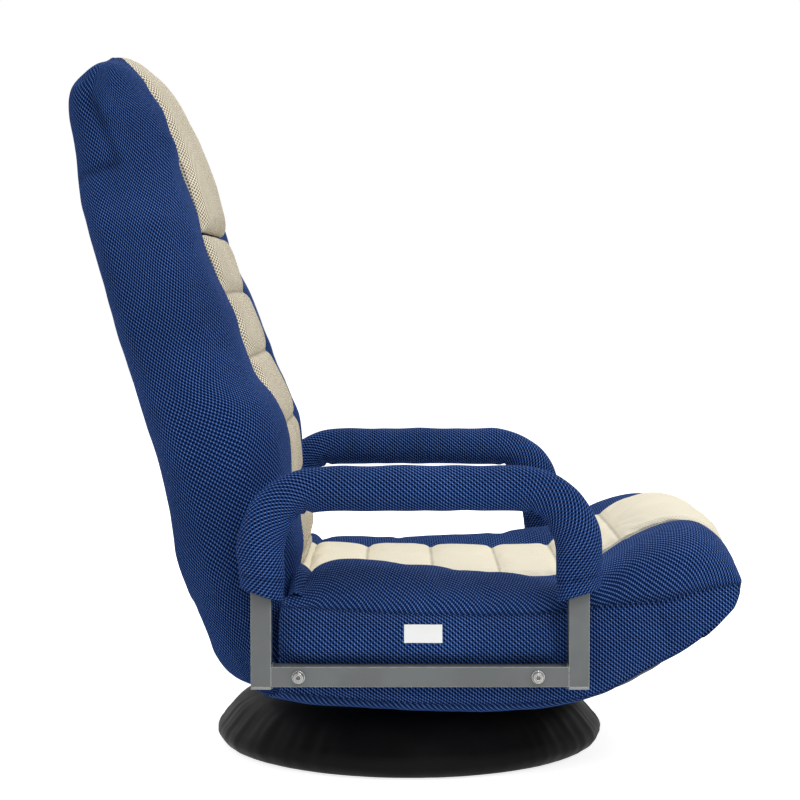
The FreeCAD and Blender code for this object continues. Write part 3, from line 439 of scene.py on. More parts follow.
# %% Fabric materials
def named_material(name):
    """A material with one Principled surface."""
    material = bpy.data.materials.new(name)
    material.use_nodes = True
    tree = material.node_tree
    tree.nodes.clear()
    surface = place(tree, "BsdfPrincipled")
    end = place(tree, "OutputMaterial", i0=surface.outputs[0])
    return material, tree, surface, end


def mesh_fabric(name, colours, wide, high, hole_size, sheen, sheen_tint, patch=0.12):
    """Knitted mesh from thread, highlight and hole colours and the two arrows of its cell, in millimetres."""
    material, tree, surface, _ = named_material(name)
    thread, shine, hole = colours
    cloth = place(tree, "UVMap", {"uv_map": "cloth"}).outputs[0]
    turned = (wide[0] * high[1] - wide[1] * high[0]) / 1000
    along, across = (high[1] / turned, -high[0] / turned, 0.0), (-wide[1] / turned, wide[0] / turned, 0.0)
    cells = place(tree, "CombineXYZ", X=vectors(tree, "DOT_PRODUCT", cloth, along),
                  Y=vectors(tree, "DOT_PRODUCT", cloth, across)).outputs[0]
    pattern = place(tree, "Group", {"node_tree": knit}, Cells=cells, Wide=math.hypot(*wide),
                    High=math.hypot(*high), Hole=hole_size).outputs
    # Threads mix towards the shine colour, a painted highlight; the holes get a dark colour, the shade inside
    # the openings painted in.
    lit = mixed(tree, between(tree, pattern["Thread"], 0.35, 0.65), thread, shine)
    knitted = mixed(tree, pattern["Hole"], lit, hole)
    seam = place(tree, "Attribute", {"attribute_name": "seam"}).outputs["Fac"]
    tone = between(tree, patches(tree, 9.0, 3.0), 0.3, 0.7, 1.0 - patch, 1.0 + patch)
    # Painted shade in the seams: the colour darkens near the stitches.
    shade = maths(tree, "MULTIPLY", tone, between(tree, seam, 0.2, 1.0, 1.0, 0.62))
    toned = place(tree, "VectorMath", {"operation": "SCALE"}, i0=knitted, Scale=shade).outputs[0]
    feed(surface, Base_Color=toned, Normal=bumped(tree, pattern["Height"], 0.55, 0.0009), Roughness=0.95,
         Specular_IOR_Level=0.06, Sheen_Weight=sheen, Sheen_Roughness=0.45, Sheen_Tint=sheen_tint)
    return material


# Each fabric has a thread colour, a lighter colour for the painted highlight on the threads, and a dark hole
# colour that holds the shade inside the openings.
blues = ((0.0090, 0.047, 0.192, 1), (0.230, 0.320, 0.600, 1), (0.0004, 0.0018, 0.012, 1))
rim_blue = (0.06, 0.22, 0.95, 1)
rim_cream = (1.0, 0.95, 0.85, 1)
blue_seat = mesh_fabric("blue mesh, seat", blues, (5.6, 0.0), (0.0, 4.3), 1.18, 0.12, rim_blue)
blue_back = mesh_fabric("blue mesh, back", blues, (5.8, -0.4), (1.75, 3.4), 1.20, 0.12, rim_blue)
blue_arm = mesh_fabric("blue mesh, arms", blues, (0.0, 5.4), (4.4, 0.0), 1.18, 0.12, rim_blue)
pale = ((0.915, 0.855, 0.690, 1), (0.955, 0.900, 0.745, 1), (0.80, 0.72, 0.54, 1))
warm = ((0.93, 0.87, 0.700, 1), (0.99, 0.95, 0.83, 1), (0.21, 0.15, 0.08, 1))
cream_seat = mesh_fabric("cream mesh, seat", pale, (5.0, 0.0), (0.0, 3.4), 0.80, 0.06, rim_cream, 0.02)
cream_back = mesh_fabric("cream mesh, back", warm, (5.4, 0.0), (0.0, 3.8), 1.22, 0.04, rim_cream, 0.05)
print("mesh fabrics:", blue_seat.name, blue_back.name, blue_arm.name, cream_seat.name, cream_back.name)

# %% [markdown]
# Every finished piece is dressed in the same way. It gets its material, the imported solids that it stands
# for are hidden, and it is told which moving body of the chair it rides on.

# %% Dress a finished piece
def dress(piece, finish, slot, body, *stands_for):
    piece.data.materials.append(finish)
    if stands_for:
        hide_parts(*stands_for)
    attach(piece, body)
    print(piece.name + ":", len(piece.data.polygons), "faces")

# %% [markdown]
# ## The seat cushion
#
# Seen from the side, the seat is a long low pad that rises in front to a rounded crest for the knees. Its
# top rolls down to a boxing seam, and flat side walls go from there to the bottom edge. It could be carved
# from a block, but a side outline carried across the chair keeps the seam a true line. Two outlines are
# drawn, one for the middle and one for the seams, and the rings in between go from one to the other like a
# quarter of an ellipse.

# %% Outlines of the seat
seat_half = 0.2575
panel_half = 0.120
wall_from = 0.238
roll_gap = 0.0565
pivot = np.array([-0.150, 0.155])
seat_long, seat_short = 68, 18


def roll_line(first, last, count):
    """Places in millimetres round the recline hinge, where the seat makes room for the back's rolled end."""
    turn = np.radians(np.linspace(first, last, count))
    return [tuple(1000 * (pivot + roll_gap * np.array((math.cos(t), math.sin(t))))) for t in turn]


def ring_of(top, front, bottom, rear):
    """One closed outline, given in millimetres, with its corners at fixed numbers."""
    sides = [smooth_line(mm(top), seat_long), smooth_line(mm(front), seat_short),
             smooth_line(mm(bottom), seat_long), even(mm(rear), seat_short)]
    return np.concatenate([side[:-1] for side in sides])


seat_middle = ring_of(
    [(-103, 193), (-98.5, 195.5), (-90, 196.2), (-60, 196.4), (-20, 196.6), (19, 196.3), (60, 195.7),
     (100, 195.5), (150, 196.5), (180, 205), (202, 221), (227, 237), (254, 250), (276, 256), (292, 256),
     (307, 251.5), (321, 242.5), (331.5, 229), (335.5, 214)],
    [(335.5, 214), (332, 200), (326, 187), (313, 171), (299, 159)],
    [(299, 159), (273, 140), (253, 129), (233, 119), (212, 108), (192, 98), (171, 91), (141, 83), (90, 80),
     (40, 79), (-10, 81), (-60, 84), (-110, 88), (-140, 94), (-158, 97.5)],
    [(-158, 97.5)] + roll_line(263, 360, 12) + [(-94.5, 172), (-98.5, 185), (-103, 193)])
seat_seams = ring_of(
    [(-130, 190), (-109, 189), (-60, 186), (-10, 183), (40, 181), (89, 181), (149, 184), (189, 188),
     (220, 190), (253, 193), (288, 203), (312, 209), (329, 211)],
    [(329, 211), (329, 200), (324, 188), (312, 174), (299, 161)],
    [(299, 161), (273, 143), (253, 132), (233, 122), (213, 111), (193, 102), (173, 96), (141, 91), (90, 89),
     (40, 89), (-10, 91), (-60, 94), (-100, 98), (-130, 101)],
    [(-130, 101), (-131, 125), (-131, 165), (-130, 190)])

# %% Rings across the seat
flat_rows = np.linspace(-panel_half, panel_half, 35)
out, up = quarter(15)
edge_rows = panel_half + (seat_half - panel_half) * out[1:]
rows_y = np.concatenate([-edge_rows[::-1], flat_rows, edge_rows])
seat_sides = np.repeat([0, 1, 2, 3], [seat_long, seat_short, seat_long, seat_short])
swell_places = mm((-102, -90, -72, -31, -10, 14, 38, 73, 110, 136, 150, 180, 200, 222, 250, 270, 285, 302,
    315, 330))
swell_right = mm((13, 21.5, 26.3, 26.2, 23.9, 21, 18.7, 16.2, 14.5, 13.2, 12.5, 11, 8, 9, 5, 5, 7, 8, 4, 0))
swell_left = mm((1, 5, 6.5, 6, 5.4, 7, 10, 11.2, 14, 18, 18.5, 17, 12, 8, 5, 2, 1, 0, 0, 0))


def ease(value, low, high):
    """From 0 to 1 between two values, slowly at both ends."""
    t = np.clip((value - low) / (high - low), 0, 1)
    return t * t * (3 - 2 * t)


def seat_ring(y):
    """The outline at a place across the chair."""
    edge = np.clip((abs(y) - panel_half) / (seat_half - panel_half), 0, 1)
    lower = np.clip((abs(y) - wall_from) / (seat_half - wall_from), 0, 1)
    over, under = 1 - math.sqrt(1 - edge**2), 1 - math.sqrt(1 - lower**2)
    brow = 1 - (1 - edge**3) ** (1 / 3)
    cheek = 1.0 if abs(y) > wall_from else 0.0
    blend = np.array([over, brow, under, cheek])[seat_sides]
    to_front = ease(np.arange(seat_long), seat_long * 0.55, seat_long * 0.75)
    blend[:seat_long] = over + (brow - over) * to_front
    blend[seat_long:seat_long + seat_short] = np.linspace(brow, under, seat_short)
    blend[:5] = np.linspace(max(over, cheek), over, 5)
    flat = seat_middle + (seat_seams - seat_middle) * blend[:, None]
    swell = np.interp(flat[:seat_long, 0], swell_places, swell_left if y > 0 else swell_right)
    beside_panel = ease(abs(y), 0.121, 0.165) * (1 - edge**3)
    flat[:seat_long, 1] += swell * beside_panel
    heel = flat[-seat_short:]
    heel[:, 1] += swell[0] * ease(heel[:, 1], 0.160, 0.193) * beside_panel
    return np.stack([flat[:, 0], np.full(len(flat), y), flat[:, 1]], axis=1)


seat_rings = np.array([seat_ring(y) for y in rows_y])
seat_cover = sewn_shell("seat_cover", seat_rings, seat_long, seat_short, (0, 2), cap_bulge=0.0055)
print("seat rings:", seat_rings.shape, "faces:", len(seat_cover.data.polygons))


def side_roll(x, z):
    """How far the cushion's side rolls out over the arm's rail."""
    over_rail = ease(z, 0.132, 0.141) * (1 - ease(z, 0.146, 0.168))
    return 0.008 * over_rail * ease(x, -0.137, -0.115) * (1 - ease(x, 0.135, 0.156))


skin = coordinates(seat_cover.data)
out_there = ease(np.abs(skin[:, 1]), 0.245, 0.2575)
skin[:, 1] += np.sign(skin[:, 1]) * side_roll(skin[:, 0], skin[:, 2]) * out_there
set_coordinates(seat_cover.data, skin)

# %% [markdown]
# The seams that hold are the two boxing seams along the sides, the edges of the cream panel and everything
# that faces the frame below or the back behind. After the puffing the boxing seams are drawn in, and so is
# the short upright pleat under the crest.

# %% Puff and sew the seat
seat_around = seat_rings.shape[1]
last_row = len(rows_y) - 1
held = [i * seat_around + j for i, y in enumerate(rows_y) for j in range(seat_around)
        if (j > seat_long and seat_sides[j] != 1) or abs(y) < panel_half + 0.001 or i in (0, last_row)]
puff(seat_cover, held, pressure=3.0, slack=0.015, limit=0.004)
side_seams = [seat_rings[i][:seat_long + 1] for i in (0, last_row)]
lower_seams = [seat_rings[i][seat_long + seat_short:2 * seat_long + seat_short] for i in (0, last_row)]
pleats = both_sides([(248, 261.5, 192), (252, 261.5, 175), (260, 261.5, 152)])
rear_edges = both_sides([(-122, 261.5, 104), (-122, 261.5, 145), (-122, 261.5, 187)])
stitching = ((side_seams, 0.0035, 0.006), (lower_seams, 0.0015, 0.005), (pleats, 0.0020, 0.008),
             (pleats, 0.0030, 0.004), (rear_edges, 0.0020, 0.004))
for lines, depth, width in stitching:
    draw_in(seat_cover, lines, depth, width)
soften(seat_cover, 0.060, 0.0016, 3)
soften(seat_cover, 0.018, 0.0005, 5, levels=0)
dress(seat_cover, blue_seat, "blue_mesh", "seat", "seat_cushion")

# %% [markdown]
# ## The back cushion
#
# The back is drawn the other way, as level slices from the rolled end at the hinge up to the crown of the
# head. Each slice knows where its rear, its front and its side are, so the lumbar swell, the shoulders and
# the narrow head come from three short tables, and two more make the left and the right side a little
# uneven. The rolled end is round about the hinge, and stays in place in the seat's hollow however far the
# back goes down.

# %% The middle line of the back
back_line = mm([(-125, 207), (-121.5, 225), (-123, 245), (-127.5, 268), (-132.5, 292), (-135.5, 310),
    (-137.2, 330), (-139, 350), (-144, 368), (-153, 388), (-163.5, 410), (-171.5, 429), (-179, 450),
    (-189, 475), (-197.5, 497), (-204.5, 515), (-214, 540), (-221.5, 561)])
pillow_line = mm([(-221.5, 561), (-224.5, 578), (-229, 595), (-235, 616), (-243, 638), (-252, 660),
    (-261.8, 681), (-272.2, 701), (-284.2, 719), (-295.5, 730.5), (-306, 737.8), (-316.5, 742)])
back_middle = np.concatenate([mm([(-97, 155), (-106, 176), (-119, 193)]), back_line, pillow_line[1:]])

# %% Slices of the back
rear_table = (mm([155, 167, 188, 208, 228, 253, 278, 308, 338, 368, 398, 428, 458, 488, 527, 567, 601, 622,
    641, 661, 687, 707, 720, 727, 732, 736.5, 740.5, 744.5, 749]),
    mm([-205.5, -210.4, -218.8, -227.2, -234.2, -238.5, -243.4, -250.5, -258.1, -267.2, -275.9, -284.9,
     -293.9, -301.4, -312.4, -323.9, -335.4, -339.4, -342.4, -346.4, -350.9, -351.7, -348.2, -341.7, -335.4,
     -329.1, -324.3, -320, -318]))
front_table = (mm([155, 175, 195, 215, 235, 260, 285, 311, 337, 356, 374, 391, 409, 427, 451, 472, 487, 502,
    518, 544, 579, 600, 625, 646, 666, 689, 707, 724, 732, 738.5, 743, 747, 749]),
    mm([-97, -101, -112, -120, -122.5, -126.5, -128, -127.5, -128, -130.5, -137, -146, -161, -170, -179.5,
     -185, -191, -198, -205.5, -215.5, -224.5, -231.5, -238.6, -243, -249.2, -256.5, -265.5, -276, -283,
     -290.4, -297, -304.3, -309]))
side_table = (mm([155, 230, 300, 380, 440, 500, 540, 570, 600, 630, 660, 690, 710, 725, 736, 740.5, 744.5,
    749]),
    mm([235.5, 235, 236, 239.5, 245, 249, 247, 239, 219, 200, 189, 187, 185, 180.5, 172, 160, 130, 90]))
uneven_right = (mm([155, 200, 215, 235, 260, 285, 310, 337, 354]), mm([0, 0, 4, 9, 10.5, 8, 3, 0, 0]))
uneven_left = (mm([260, 285, 310, 337, 354, 372, 390, 407, 425, 443, 461, 478, 496, 520, 560, 600]),
               mm([0, 0, -2, -3, -4, -5.5, -3, 3, 6, 7, 4.5, 3, 4, 3, 3.5, 0]))
roll_radius = 0.053
turns = np.radians(np.linspace(-80, 0, 10))[:-1]
slice_heights = np.concatenate([pivot[1] + roll_radius * np.sin(turns), np.linspace(0.155, 0.700, 80),
                                mm([707, 714, 720, 725.5, 730.5, 734.5, 738, 741, 743.5, 745.5])])
back_parts = (17, 7, 8, 10, 6, 25)


def back_slice(z, uneven):
    """Half a level slice, from the middle of the front round the side to the middle of the rear."""
    level = max(z, pivot[1])
    rear, front, side, more, middle = (float(smooth_at(*table, [level])[0]) for table in (
        rear_table, front_table, side_table, uneven, back_middle.T[::-1]))
    front += more
    valley = min(front + 0.010, middle - 0.0015)
    if z < pivot[1]:
        deep = math.sqrt(max(0.0, roll_radius**2 - (pivot[1] - z) ** 2))
        rear, front = pivot[0] - deep, pivot[0] + deep
        valley = front
    depth = front - rear
    valley = max(valley, rear + depth * 0.3)
    sag = min(0.005, max(0.0, z - pivot[1]) * 0.1)
    nose = min(0.036, depth * 0.42)
    heel = min(0.028, depth * 0.38)
    turned = float(np.interp(level, (0.16, 0.40), (0.016, 0.045)))
    wide = min(0.090, (side - panel_half) * 0.80)
    inner = min(panel_half - 0.008, side * 0.75)
    corner = max(inner + 0.020, side - wide)
    out, up = quarter(16)
    lines = [
        [(valley, 0.0), (valley, inner)],
        smooth_line([(valley, inner), (valley * 0.55 + front * 0.45, inner + 0.008),
                     (valley * 0.06 + front * 0.94, inner + 0.018), (front, corner)], 12),
        [(front - nose * b, corner * (1 - a) + side * a) for a, b in zip(out, up)],
        smooth_line([(front - nose, side), ((front + rear) / 2, side + 0.0035), (rear + heel, side)], 10),
        [(rear + heel * (1 - a), side - turned * b) for a, b in zip(out, up)],
        smooth_line([(rear, side - turned), (rear - 0.6 * sag, side * 0.5), (rear - sag, 0.0)], 12),
    ]
    half = [even(line, count)[:-1] for line, count in zip(lines, back_parts)]
    half.append(np.array([(rear - sag, 0.0)]))
    return np.concatenate(half)


def back_ring(z):
    """A whole slice whose four sides meet in the middle of the rounded corners."""
    left = [(x, y, z) for x, y in back_slice(z, uneven_left)]
    right = [(x, -y, z) for x, y in back_slice(z, uneven_right)[1:-1]][::-1]
    ring = np.array(left + right)
    start = sum(back_parts[:2]) + back_parts[2] // 2
    return np.roll(ring, start, axis=0)


back_rings = np.array([back_ring(z) for z in slice_heights])
back_long = 2 * (sum(back_parts[:2]) + back_parts[2] // 2)
back_short = sum(back_parts) - back_long
print("back rings:", back_rings.shape, "sides:", back_long, back_short)
back_cover = sewn_shell("back_cover", back_rings, back_long, back_short, (0, 1))

# %% [markdown]
# The rolled end and the strip behind the cream panel stay as drawn. Everything else may swell, and the
# valleys where the head joins the shoulders are drawn in after it.

# %% Puff and sew the back
back_around = back_rings.shape[1]
held = [i * back_around + j for i, z in enumerate(slice_heights) for j, (x, y, _) in enumerate(back_rings[i])
        if z < 0.170 or (x > back_rings[i, :, 0].max() - 0.012 and abs(y) < panel_half + 0.004)]
puff(back_cover, held, pressure=3.0, slack=0.012, limit=0.0035)
creases = both_sides([(-334, 172, 722), (-326, 180, 700), (-311, 191, 666), (-296, 200, 634)],
                     [(-296, 200, 634), (-320, 196, 624), (-337, 180, 617)])
draw_in(back_cover, creases, 0.0012, 0.012)
draw_in(back_cover, creases, 0.0034, 0.0034)
draw_in(back_cover, both_sides([(-346, 160, 722), (-333, 168, 717)]), 0.0070, 0.005)
soften(back_cover, 0.070, 0.0018, 7)
soften(back_cover, 0.020, 0.0005, 9, levels=0)
dress(back_cover, blue_back, "blue_mesh", "backrest", "back_cushion")

# %% [markdown]
# ## Cream pads sewn in channels
#
# The cream pads are one padded strip each, sewn down across at every groove. A strip is a closed shell: an
# upper grid that crowns between the grooves and tucks down at both long edges, and a plain lower grid that
# lies on the blue cover. The height of the crown over a channel follows a flattened half circle, which
# gives the sharp V at the stitches that a row of cylinders would also have, without the seams between
# cylinders.

# %% Make a channelled pad
crown, tuck, underlay, pad_across = 0.0040, 0.0025, 0.002, 40


def cream_pad(name, line, grooves, channel, ridge, seed):
    """A closed padded strip along a line in the middle plane, sewn down at grooves, which are distances along
    the line. channel is the height that it gains between two grooves."""
    line = even(line, max(12, int(run_of(line)[-1] / 0.0042)))
    run, slope = run_of(line), slopes_of(line)
    outwards = np.stack([-slope[:, 1], slope[:, 0]], axis=1)
    turn = np.linspace(-math.pi / 2, math.pi / 2, pad_across + 1) * 0.96
    places_y = panel_half * np.sin(turn) / math.sin(math.pi / 2 * 0.96)
    stops = np.array([run[0]] + sorted(grooves) + [run[-1]])
    index = np.clip(np.searchsorted(stops, run, side="right") - 1, 0, len(stops) - 2)
    share = np.clip((run - stops[index]) / (stops[index + 1] - stops[index]), 0, 1)
    swell = np.sqrt(np.clip(1 - (2 * share - 1) ** 2, 0, 1)) ** ridge
    rows, columns = len(line), pad_across + 1
    points, upper, lower = [], {}, {}
    for i in range(rows):
        inside = 0 < i < rows - 1
        for j, y in enumerate(places_y):
            side = (1 - (abs(y) / panel_half) ** 4) ** 0.5
            lift = tuck + side * (crown + channel * swell[i]) if inside else tuck * 0.5 + side * crown * 0.6
            x, z = line[i] + outwards[i] * lift
            upper[i, j] = lower[i, j] = len(points)
            points.append((x, y * (1.0 - 0.014 * (1 - swell[i])), z))
    for i in range(1, rows - 1):
        for j in range(1, pad_across):
            x, z = line[i] - outwards[i] * underlay
            lower[i, j] = len(points)
            points.append((x, places_y[j], z))
    grid = np.array(points[:rows * columns]).reshape(rows, columns, 3)
    width = run_of(grid[int(np.argmax(swell))])
    cells = squares(rows - 1, pad_across)
    faces = [tuple(layer[c] for c in corners) for layer in (upper, lower) for corners in cells]
    cloth = [(width[j], run[i]) for corners in cells + cells for i, j in corners]
    piece = mesh_piece(name, points, faces, cloth)
    held = set(lower.values())
    held.update(upper[i, j] for i, j in upper if np.abs(stops - run[i]).min() < 0.0024)
    puff(piece, held, pressure=4.0, slack=0.020, limit=0.002)
    if grooves:
        draw_in(piece, [grid[int(np.abs(run - stop).argmin())] for stop in stops[1:-1]], 0.0022, 0.0032)
    draw_in(piece, [grid[:, 0], grid[:, -1]], 0.0006, 0.0030)
    soften(piece, 0.035, 0.0010, seed)
    return piece


def along(line, heights, which=1):
    """The distances along a line at which it passes given heights or places."""
    run = run_of(line)
    order = np.argsort(line[:, which])
    return [float(np.interp(value, line[order, which], run[order])) for value in heights]


# %% [markdown]
# The seat's pad lies on the seat's own middle outline, so both follow the same dip and crest. The back's
# pads have lines of their own, a little behind the measured outline of the cream, because the crown is
# added to them.

# %% The three cream pads
seat_pad_line = smooth_line(np.concatenate([
    mm([(-108.5, 194.5), (-104.5, 197.5), (-98.5, 199), (-90, 198.2), (-70, 196.8)]),
    seat_middle[9:seat_long + 1:3]]), 240)
grooves = along(seat_pad_line, mm([-47.5, 26.5, 97.5, 162, 226.5]), which=0)
seat_pad = cream_pad("seat_pad", seat_pad_line, grooves, 0.0050, 0.5, 11)
dress(seat_pad, cream_seat, "cream_mesh", "seat", "seat_centre_panel")
back_pad_line = smooth_line(back_line[::-1], 240)
grooves = along(back_pad_line, mm([497, 429, 356, 292, 224]))
back_pad = cream_pad("back_pad", back_pad_line, grooves, 0.0050, 0.5, 13)
dress(back_pad, cream_back, "cream_mesh", "backrest", "back_centre_panel")
head_pad = cream_pad("head_pad", smooth_line(pillow_line[::-1], 200), [], 0.0085, 0.35, 17)
dress(head_pad, cream_back, "cream_mesh", "backrest", "head_pillow")

# %% [markdown]
# ## Sleeves on the arms
#
# A foam tube is pushed over each bent square tube and a knitted sleeve is pulled over the foam. A sleeve is
# a tube swept along the arm's line. In the bends the cloth on the inside has nowhere to go, so it folds,
# and both ends finish with a slanting hem that closes on the steel.

# %% Sweep a sleeve
def arm_path(sign):
    """The arm's middle line over the padded stretch: up, round, forward, round and down."""
    bend, top, y = 0.062, 0.305, sign * 0.274
    rear, front, end = -0.147, 0.1665, 0.2035
    turns = np.linspace(0, math.pi / 2, 16)[1:]
    line = [(rear, z) for z in np.linspace(end, top - bend, 8)]
    line += [(rear + bend * (1 - math.cos(t)), top - bend * (1 - math.sin(t))) for t in turns]
    line += [(x, top) for x in np.linspace(rear + bend, front - bend, 30)[1:]]
    line += [(front - bend * (1 - math.sin(t)), top - bend * (1 - math.cos(t))) for t in turns]
    line += [(front, z) for z in np.linspace(top - bend, end, 8)[1:]]
    return np.array([(x, y, z) for x, z in line])


def sleeve(name, sign):
    """A padded sleeve with folds in its bends and closed slanting hems."""
    line = even(arm_path(sign), 110)
    run, slope = run_of(line), slopes_of(line)
    side = np.array([0.0, 1.0, 0.0])
    around, radius, total = 32, 0.0226, run[-1]
    rng = np.random.default_rng(23 + sign)
    fold_places = [0.088, 0.101, 0.114, total - 0.114, total - 0.101, total - 0.088]
    fold_turns = rng.uniform(-0.35, 0.35, len(fold_places))
    rows = [(0, 0.0145, 0.0030), (0, 0.0200, 0.0006), (0, 0.0218, -0.0004)]
    rings = rows + [(i, None, 0.0) for i in range(1, len(line) - 1)]
    rings += [(len(line) - 1, r, -d) for i, r, d in rows[::-1]]
    points = []
    for i, fixed, shift in rings:
        up = np.cross(slope[i], side)
        hem = min(run[i], total - run[i])
        for turn in 2 * math.pi * np.arange(around) / around:
            size = fixed or radius
            if fixed is None:
                for fold, tilt in zip(fold_places, fold_turns):
                    reach = (run[i] - fold - tilt * 0.010 * math.sin(turn)) / 0.0042
                    size -= 0.0050 * math.exp(-reach**2) * max(0.0, -math.cos(turn)) ** 1.5
                size -= 0.0012 * math.exp(-((hem - 0.009) / 0.0022) ** 2)
                size -= 0.0016 * math.exp(-(hem / 0.0050) ** 2)
            slant = 0.0075 * math.cos(turn) * math.exp(-hem / 0.030)
            here = line[i] + slope[i] * (shift + (slant if run[i] < total / 2 else -slant))
            points.append(here + size * (up * math.cos(turn) + side * math.sin(turn)))
    skin = np.array(points).reshape(len(rings), around, 3)
    cells = squares(len(rings) - 1, around)
    faces = [tuple(k * around + j % around for k, j in corners) for corners in cells]
    cloth = [(j / around * 2 * math.pi * radius, run[rings[k][0]]) for corners in cells for k, j in corners]
    for first in (0, len(points) - around):
        points.append(np.mean(points[first:first + around], axis=0))
        faces += [(first + j, first + (j + 1) % around, len(points) - 1) for j in range(around)]
        cloth += [(0, 0), (0.002, 0), (0.001, 0.002)] * around
    piece = mesh_piece(name, points, faces, cloth)
    held = [k for k in range(len(points)) if k < 7 * around or k >= (len(rings) - 7) * around]
    puff(piece, held, pressure=2.0, slack=0.020, limit=0.0028)
    draw_in(piece, [np.vstack([skin[k], skin[k, :1]]) for k in (6, -7)], 0.0006, 0.0020)
    draw_in(piece, [skin[4:-4, around // 2]], 0.0008, 0.0024)
    soften(piece, 0.030, 0.0012, 19 + sign)
    return piece


for word, sign in (("left", 1), ("right", -1)):
    cover = sleeve("sleeve_" + word, sign)
    dress(cover, blue_arm, "blue_mesh", "seat", "arm_sleeve_" + word, "arm_foam_" + word)

# %% [markdown]
# ## The skirt round the base
#
# A round of black polyester is stretched over the base ring and gathered under it. It is a sheet turned
# round the swivel axis, and small ripples run down it where the thread pulls: they are deepest near the rim
# and fade towards the turntable. Noise read on a circle gives ripples that meet themselves after one turn.

# %% Black polyester
polyester, tree, surface, _ = named_material("black polyester")
cloth = place(tree, "UVMap", {"uv_map": "cloth"}).outputs[0]
weave = place(tree, "TexChecker", Vector=vectors(tree, "MULTIPLY", cloth, (1600.0, 1600.0, 0.0)),
              Color1=(1, 1, 1, 1), Color2=(0, 0, 0, 1), Scale=1.0).outputs["Fac"]
dust = patches(tree, 14.0, 4.0)
tone = mixed(tree, between(tree, dust, 0.35, 0.75), (0.009, 0.009, 0.0094, 1), (0.0125, 0.0125, 0.013, 1))
feed(surface, Base_Color=tone, Roughness=between(tree, dust, 0.3, 0.7, 0.42, 0.55),
     Normal=bumped(tree, weave, 0.10, 0.0003), Specular_IOR_Level=0.05)

# %% Turn and gather the skirt
skirt_profile = smooth_line(mm([(186, 1.2), (196, 0.9), (203, 2.4), (210.5, 8.5), (214.2, 15.5), (212, 23),
    (205.5, 31), (198.8, 39), (191.5, 46.5), (179, 54.5), (162, 59.2), (142, 61), (131, 61.4)]), 48)
skirt_around = 420
floor_gap = 0.0009


def skirt_ripple(turn, share):
    """How far the cloth stands out at a place, deepest a little above the rim."""
    ring_place = Vector((math.cos(turn), math.sin(turn), 0.0))
    fine = noise.noise(ring_place * 16.0 + Vector((3.0, 1.0, share * 1.2)))
    wide = noise.noise(ring_place * 5.0 + Vector((8.0, 2.0, share * 2.0)))
    band = math.exp(-((share - 0.42) / 0.16) ** 2) + 0.45 * math.exp(-((share - 0.22) / 0.08) ** 2)
    return (fine * 0.0015 + wide * 0.0022) * band


points = []
steps = len(skirt_profile) - 1
lengths = run_of(skirt_profile)
for i, (radius, z) in enumerate(skirt_profile):
    slope = skirt_profile[min(i + 1, steps)] - skirt_profile[max(i - 1, 0)]
    slope /= np.linalg.norm(slope)
    for turn in 2 * math.pi * np.arange(skirt_around) / skirt_around:
        lift = skirt_ripple(turn, i / steps)
        r, height = radius + slope[1] * lift, z - slope[0] * lift
        points.append((r * math.cos(turn), r * math.sin(turn), max(height, floor_gap)))
skirt = sheet_piece("skirt", points, skirt_around, lambda i, j: (j / skirt_around * 1.30, lengths[i]),
                    closed=True)
apply_modifier(skirt, "SOLIDIFY", thickness=0.0008, offset=-1.0)
dress(skirt, polyester, "black_fabric", "base", "base_skirt")

# %% [markdown]
# ## The dust cover under the seat
#
# A light black cloth closes the underside. It is stapled along its edges and sags at the front, where its
# bulge shows under the crest. It is one grid whose rows follow the seat's underside, let down a little more
# in front.

# %% Hang the dust cover
cover_line = smooth_line(mm([(-129, 90.5), (-60, 84.5), (20, 80), (100, 78.5), (150, 77.5), (190, 76.5),
    (220, 78.5), (242, 85.5), (258, 95), (271, 102), (279, 110), (280.5, 121), (277, 133), (272, 144)]), 90)
edge_line = smooth_line(mm([(-129, 93.5), (-60, 88), (20, 84), (100, 83), (140, 83), (170, 90.5),
    (191, 100), (211, 110), (231, 121), (240, 127), (246, 130), (252, 133), (256, 136), (260, 138)]), 90)
cover_half, cover_across = 0.205, 64
points = []
for middle, edge in zip(cover_line, edge_line):
    for share in np.arange(cover_across + 1) / cover_across * 2 - 1:
        to_edge = 1 - (1 - abs(share) ** 3.2) ** 0.8
        x, z = middle * (1 - to_edge) + edge * to_edge
        sagging = 0.0018 * (1 - to_edge) * min(1, max(0, x - 0.12) / 0.05)
        points.append((x, share * cover_half, z + noise.noise(Vector((x * 22, share * 5, 4.0))) * sagging))
columns = cover_across + 1
dust_cover = sheet_piece("dust_cover", points, columns, lambda i, j: points[i * columns + j][:2])
apply_modifier(dust_cover, "SOLIDIFY", thickness=0.0007, offset=0.0)
dress(dust_cover, polyester, "black_fabric", "seat", "bottom_cover")

# %% [markdown]
# ## The strip in the crease
#
# Where the back meets the seat, a strip of the blue mesh is sewn to both covers. It lies in a fold while
# the back is up and opens over the rolled end as the back goes down. Here it is one sheet laid in the fold,
# blue at the sides and cream over the middle.

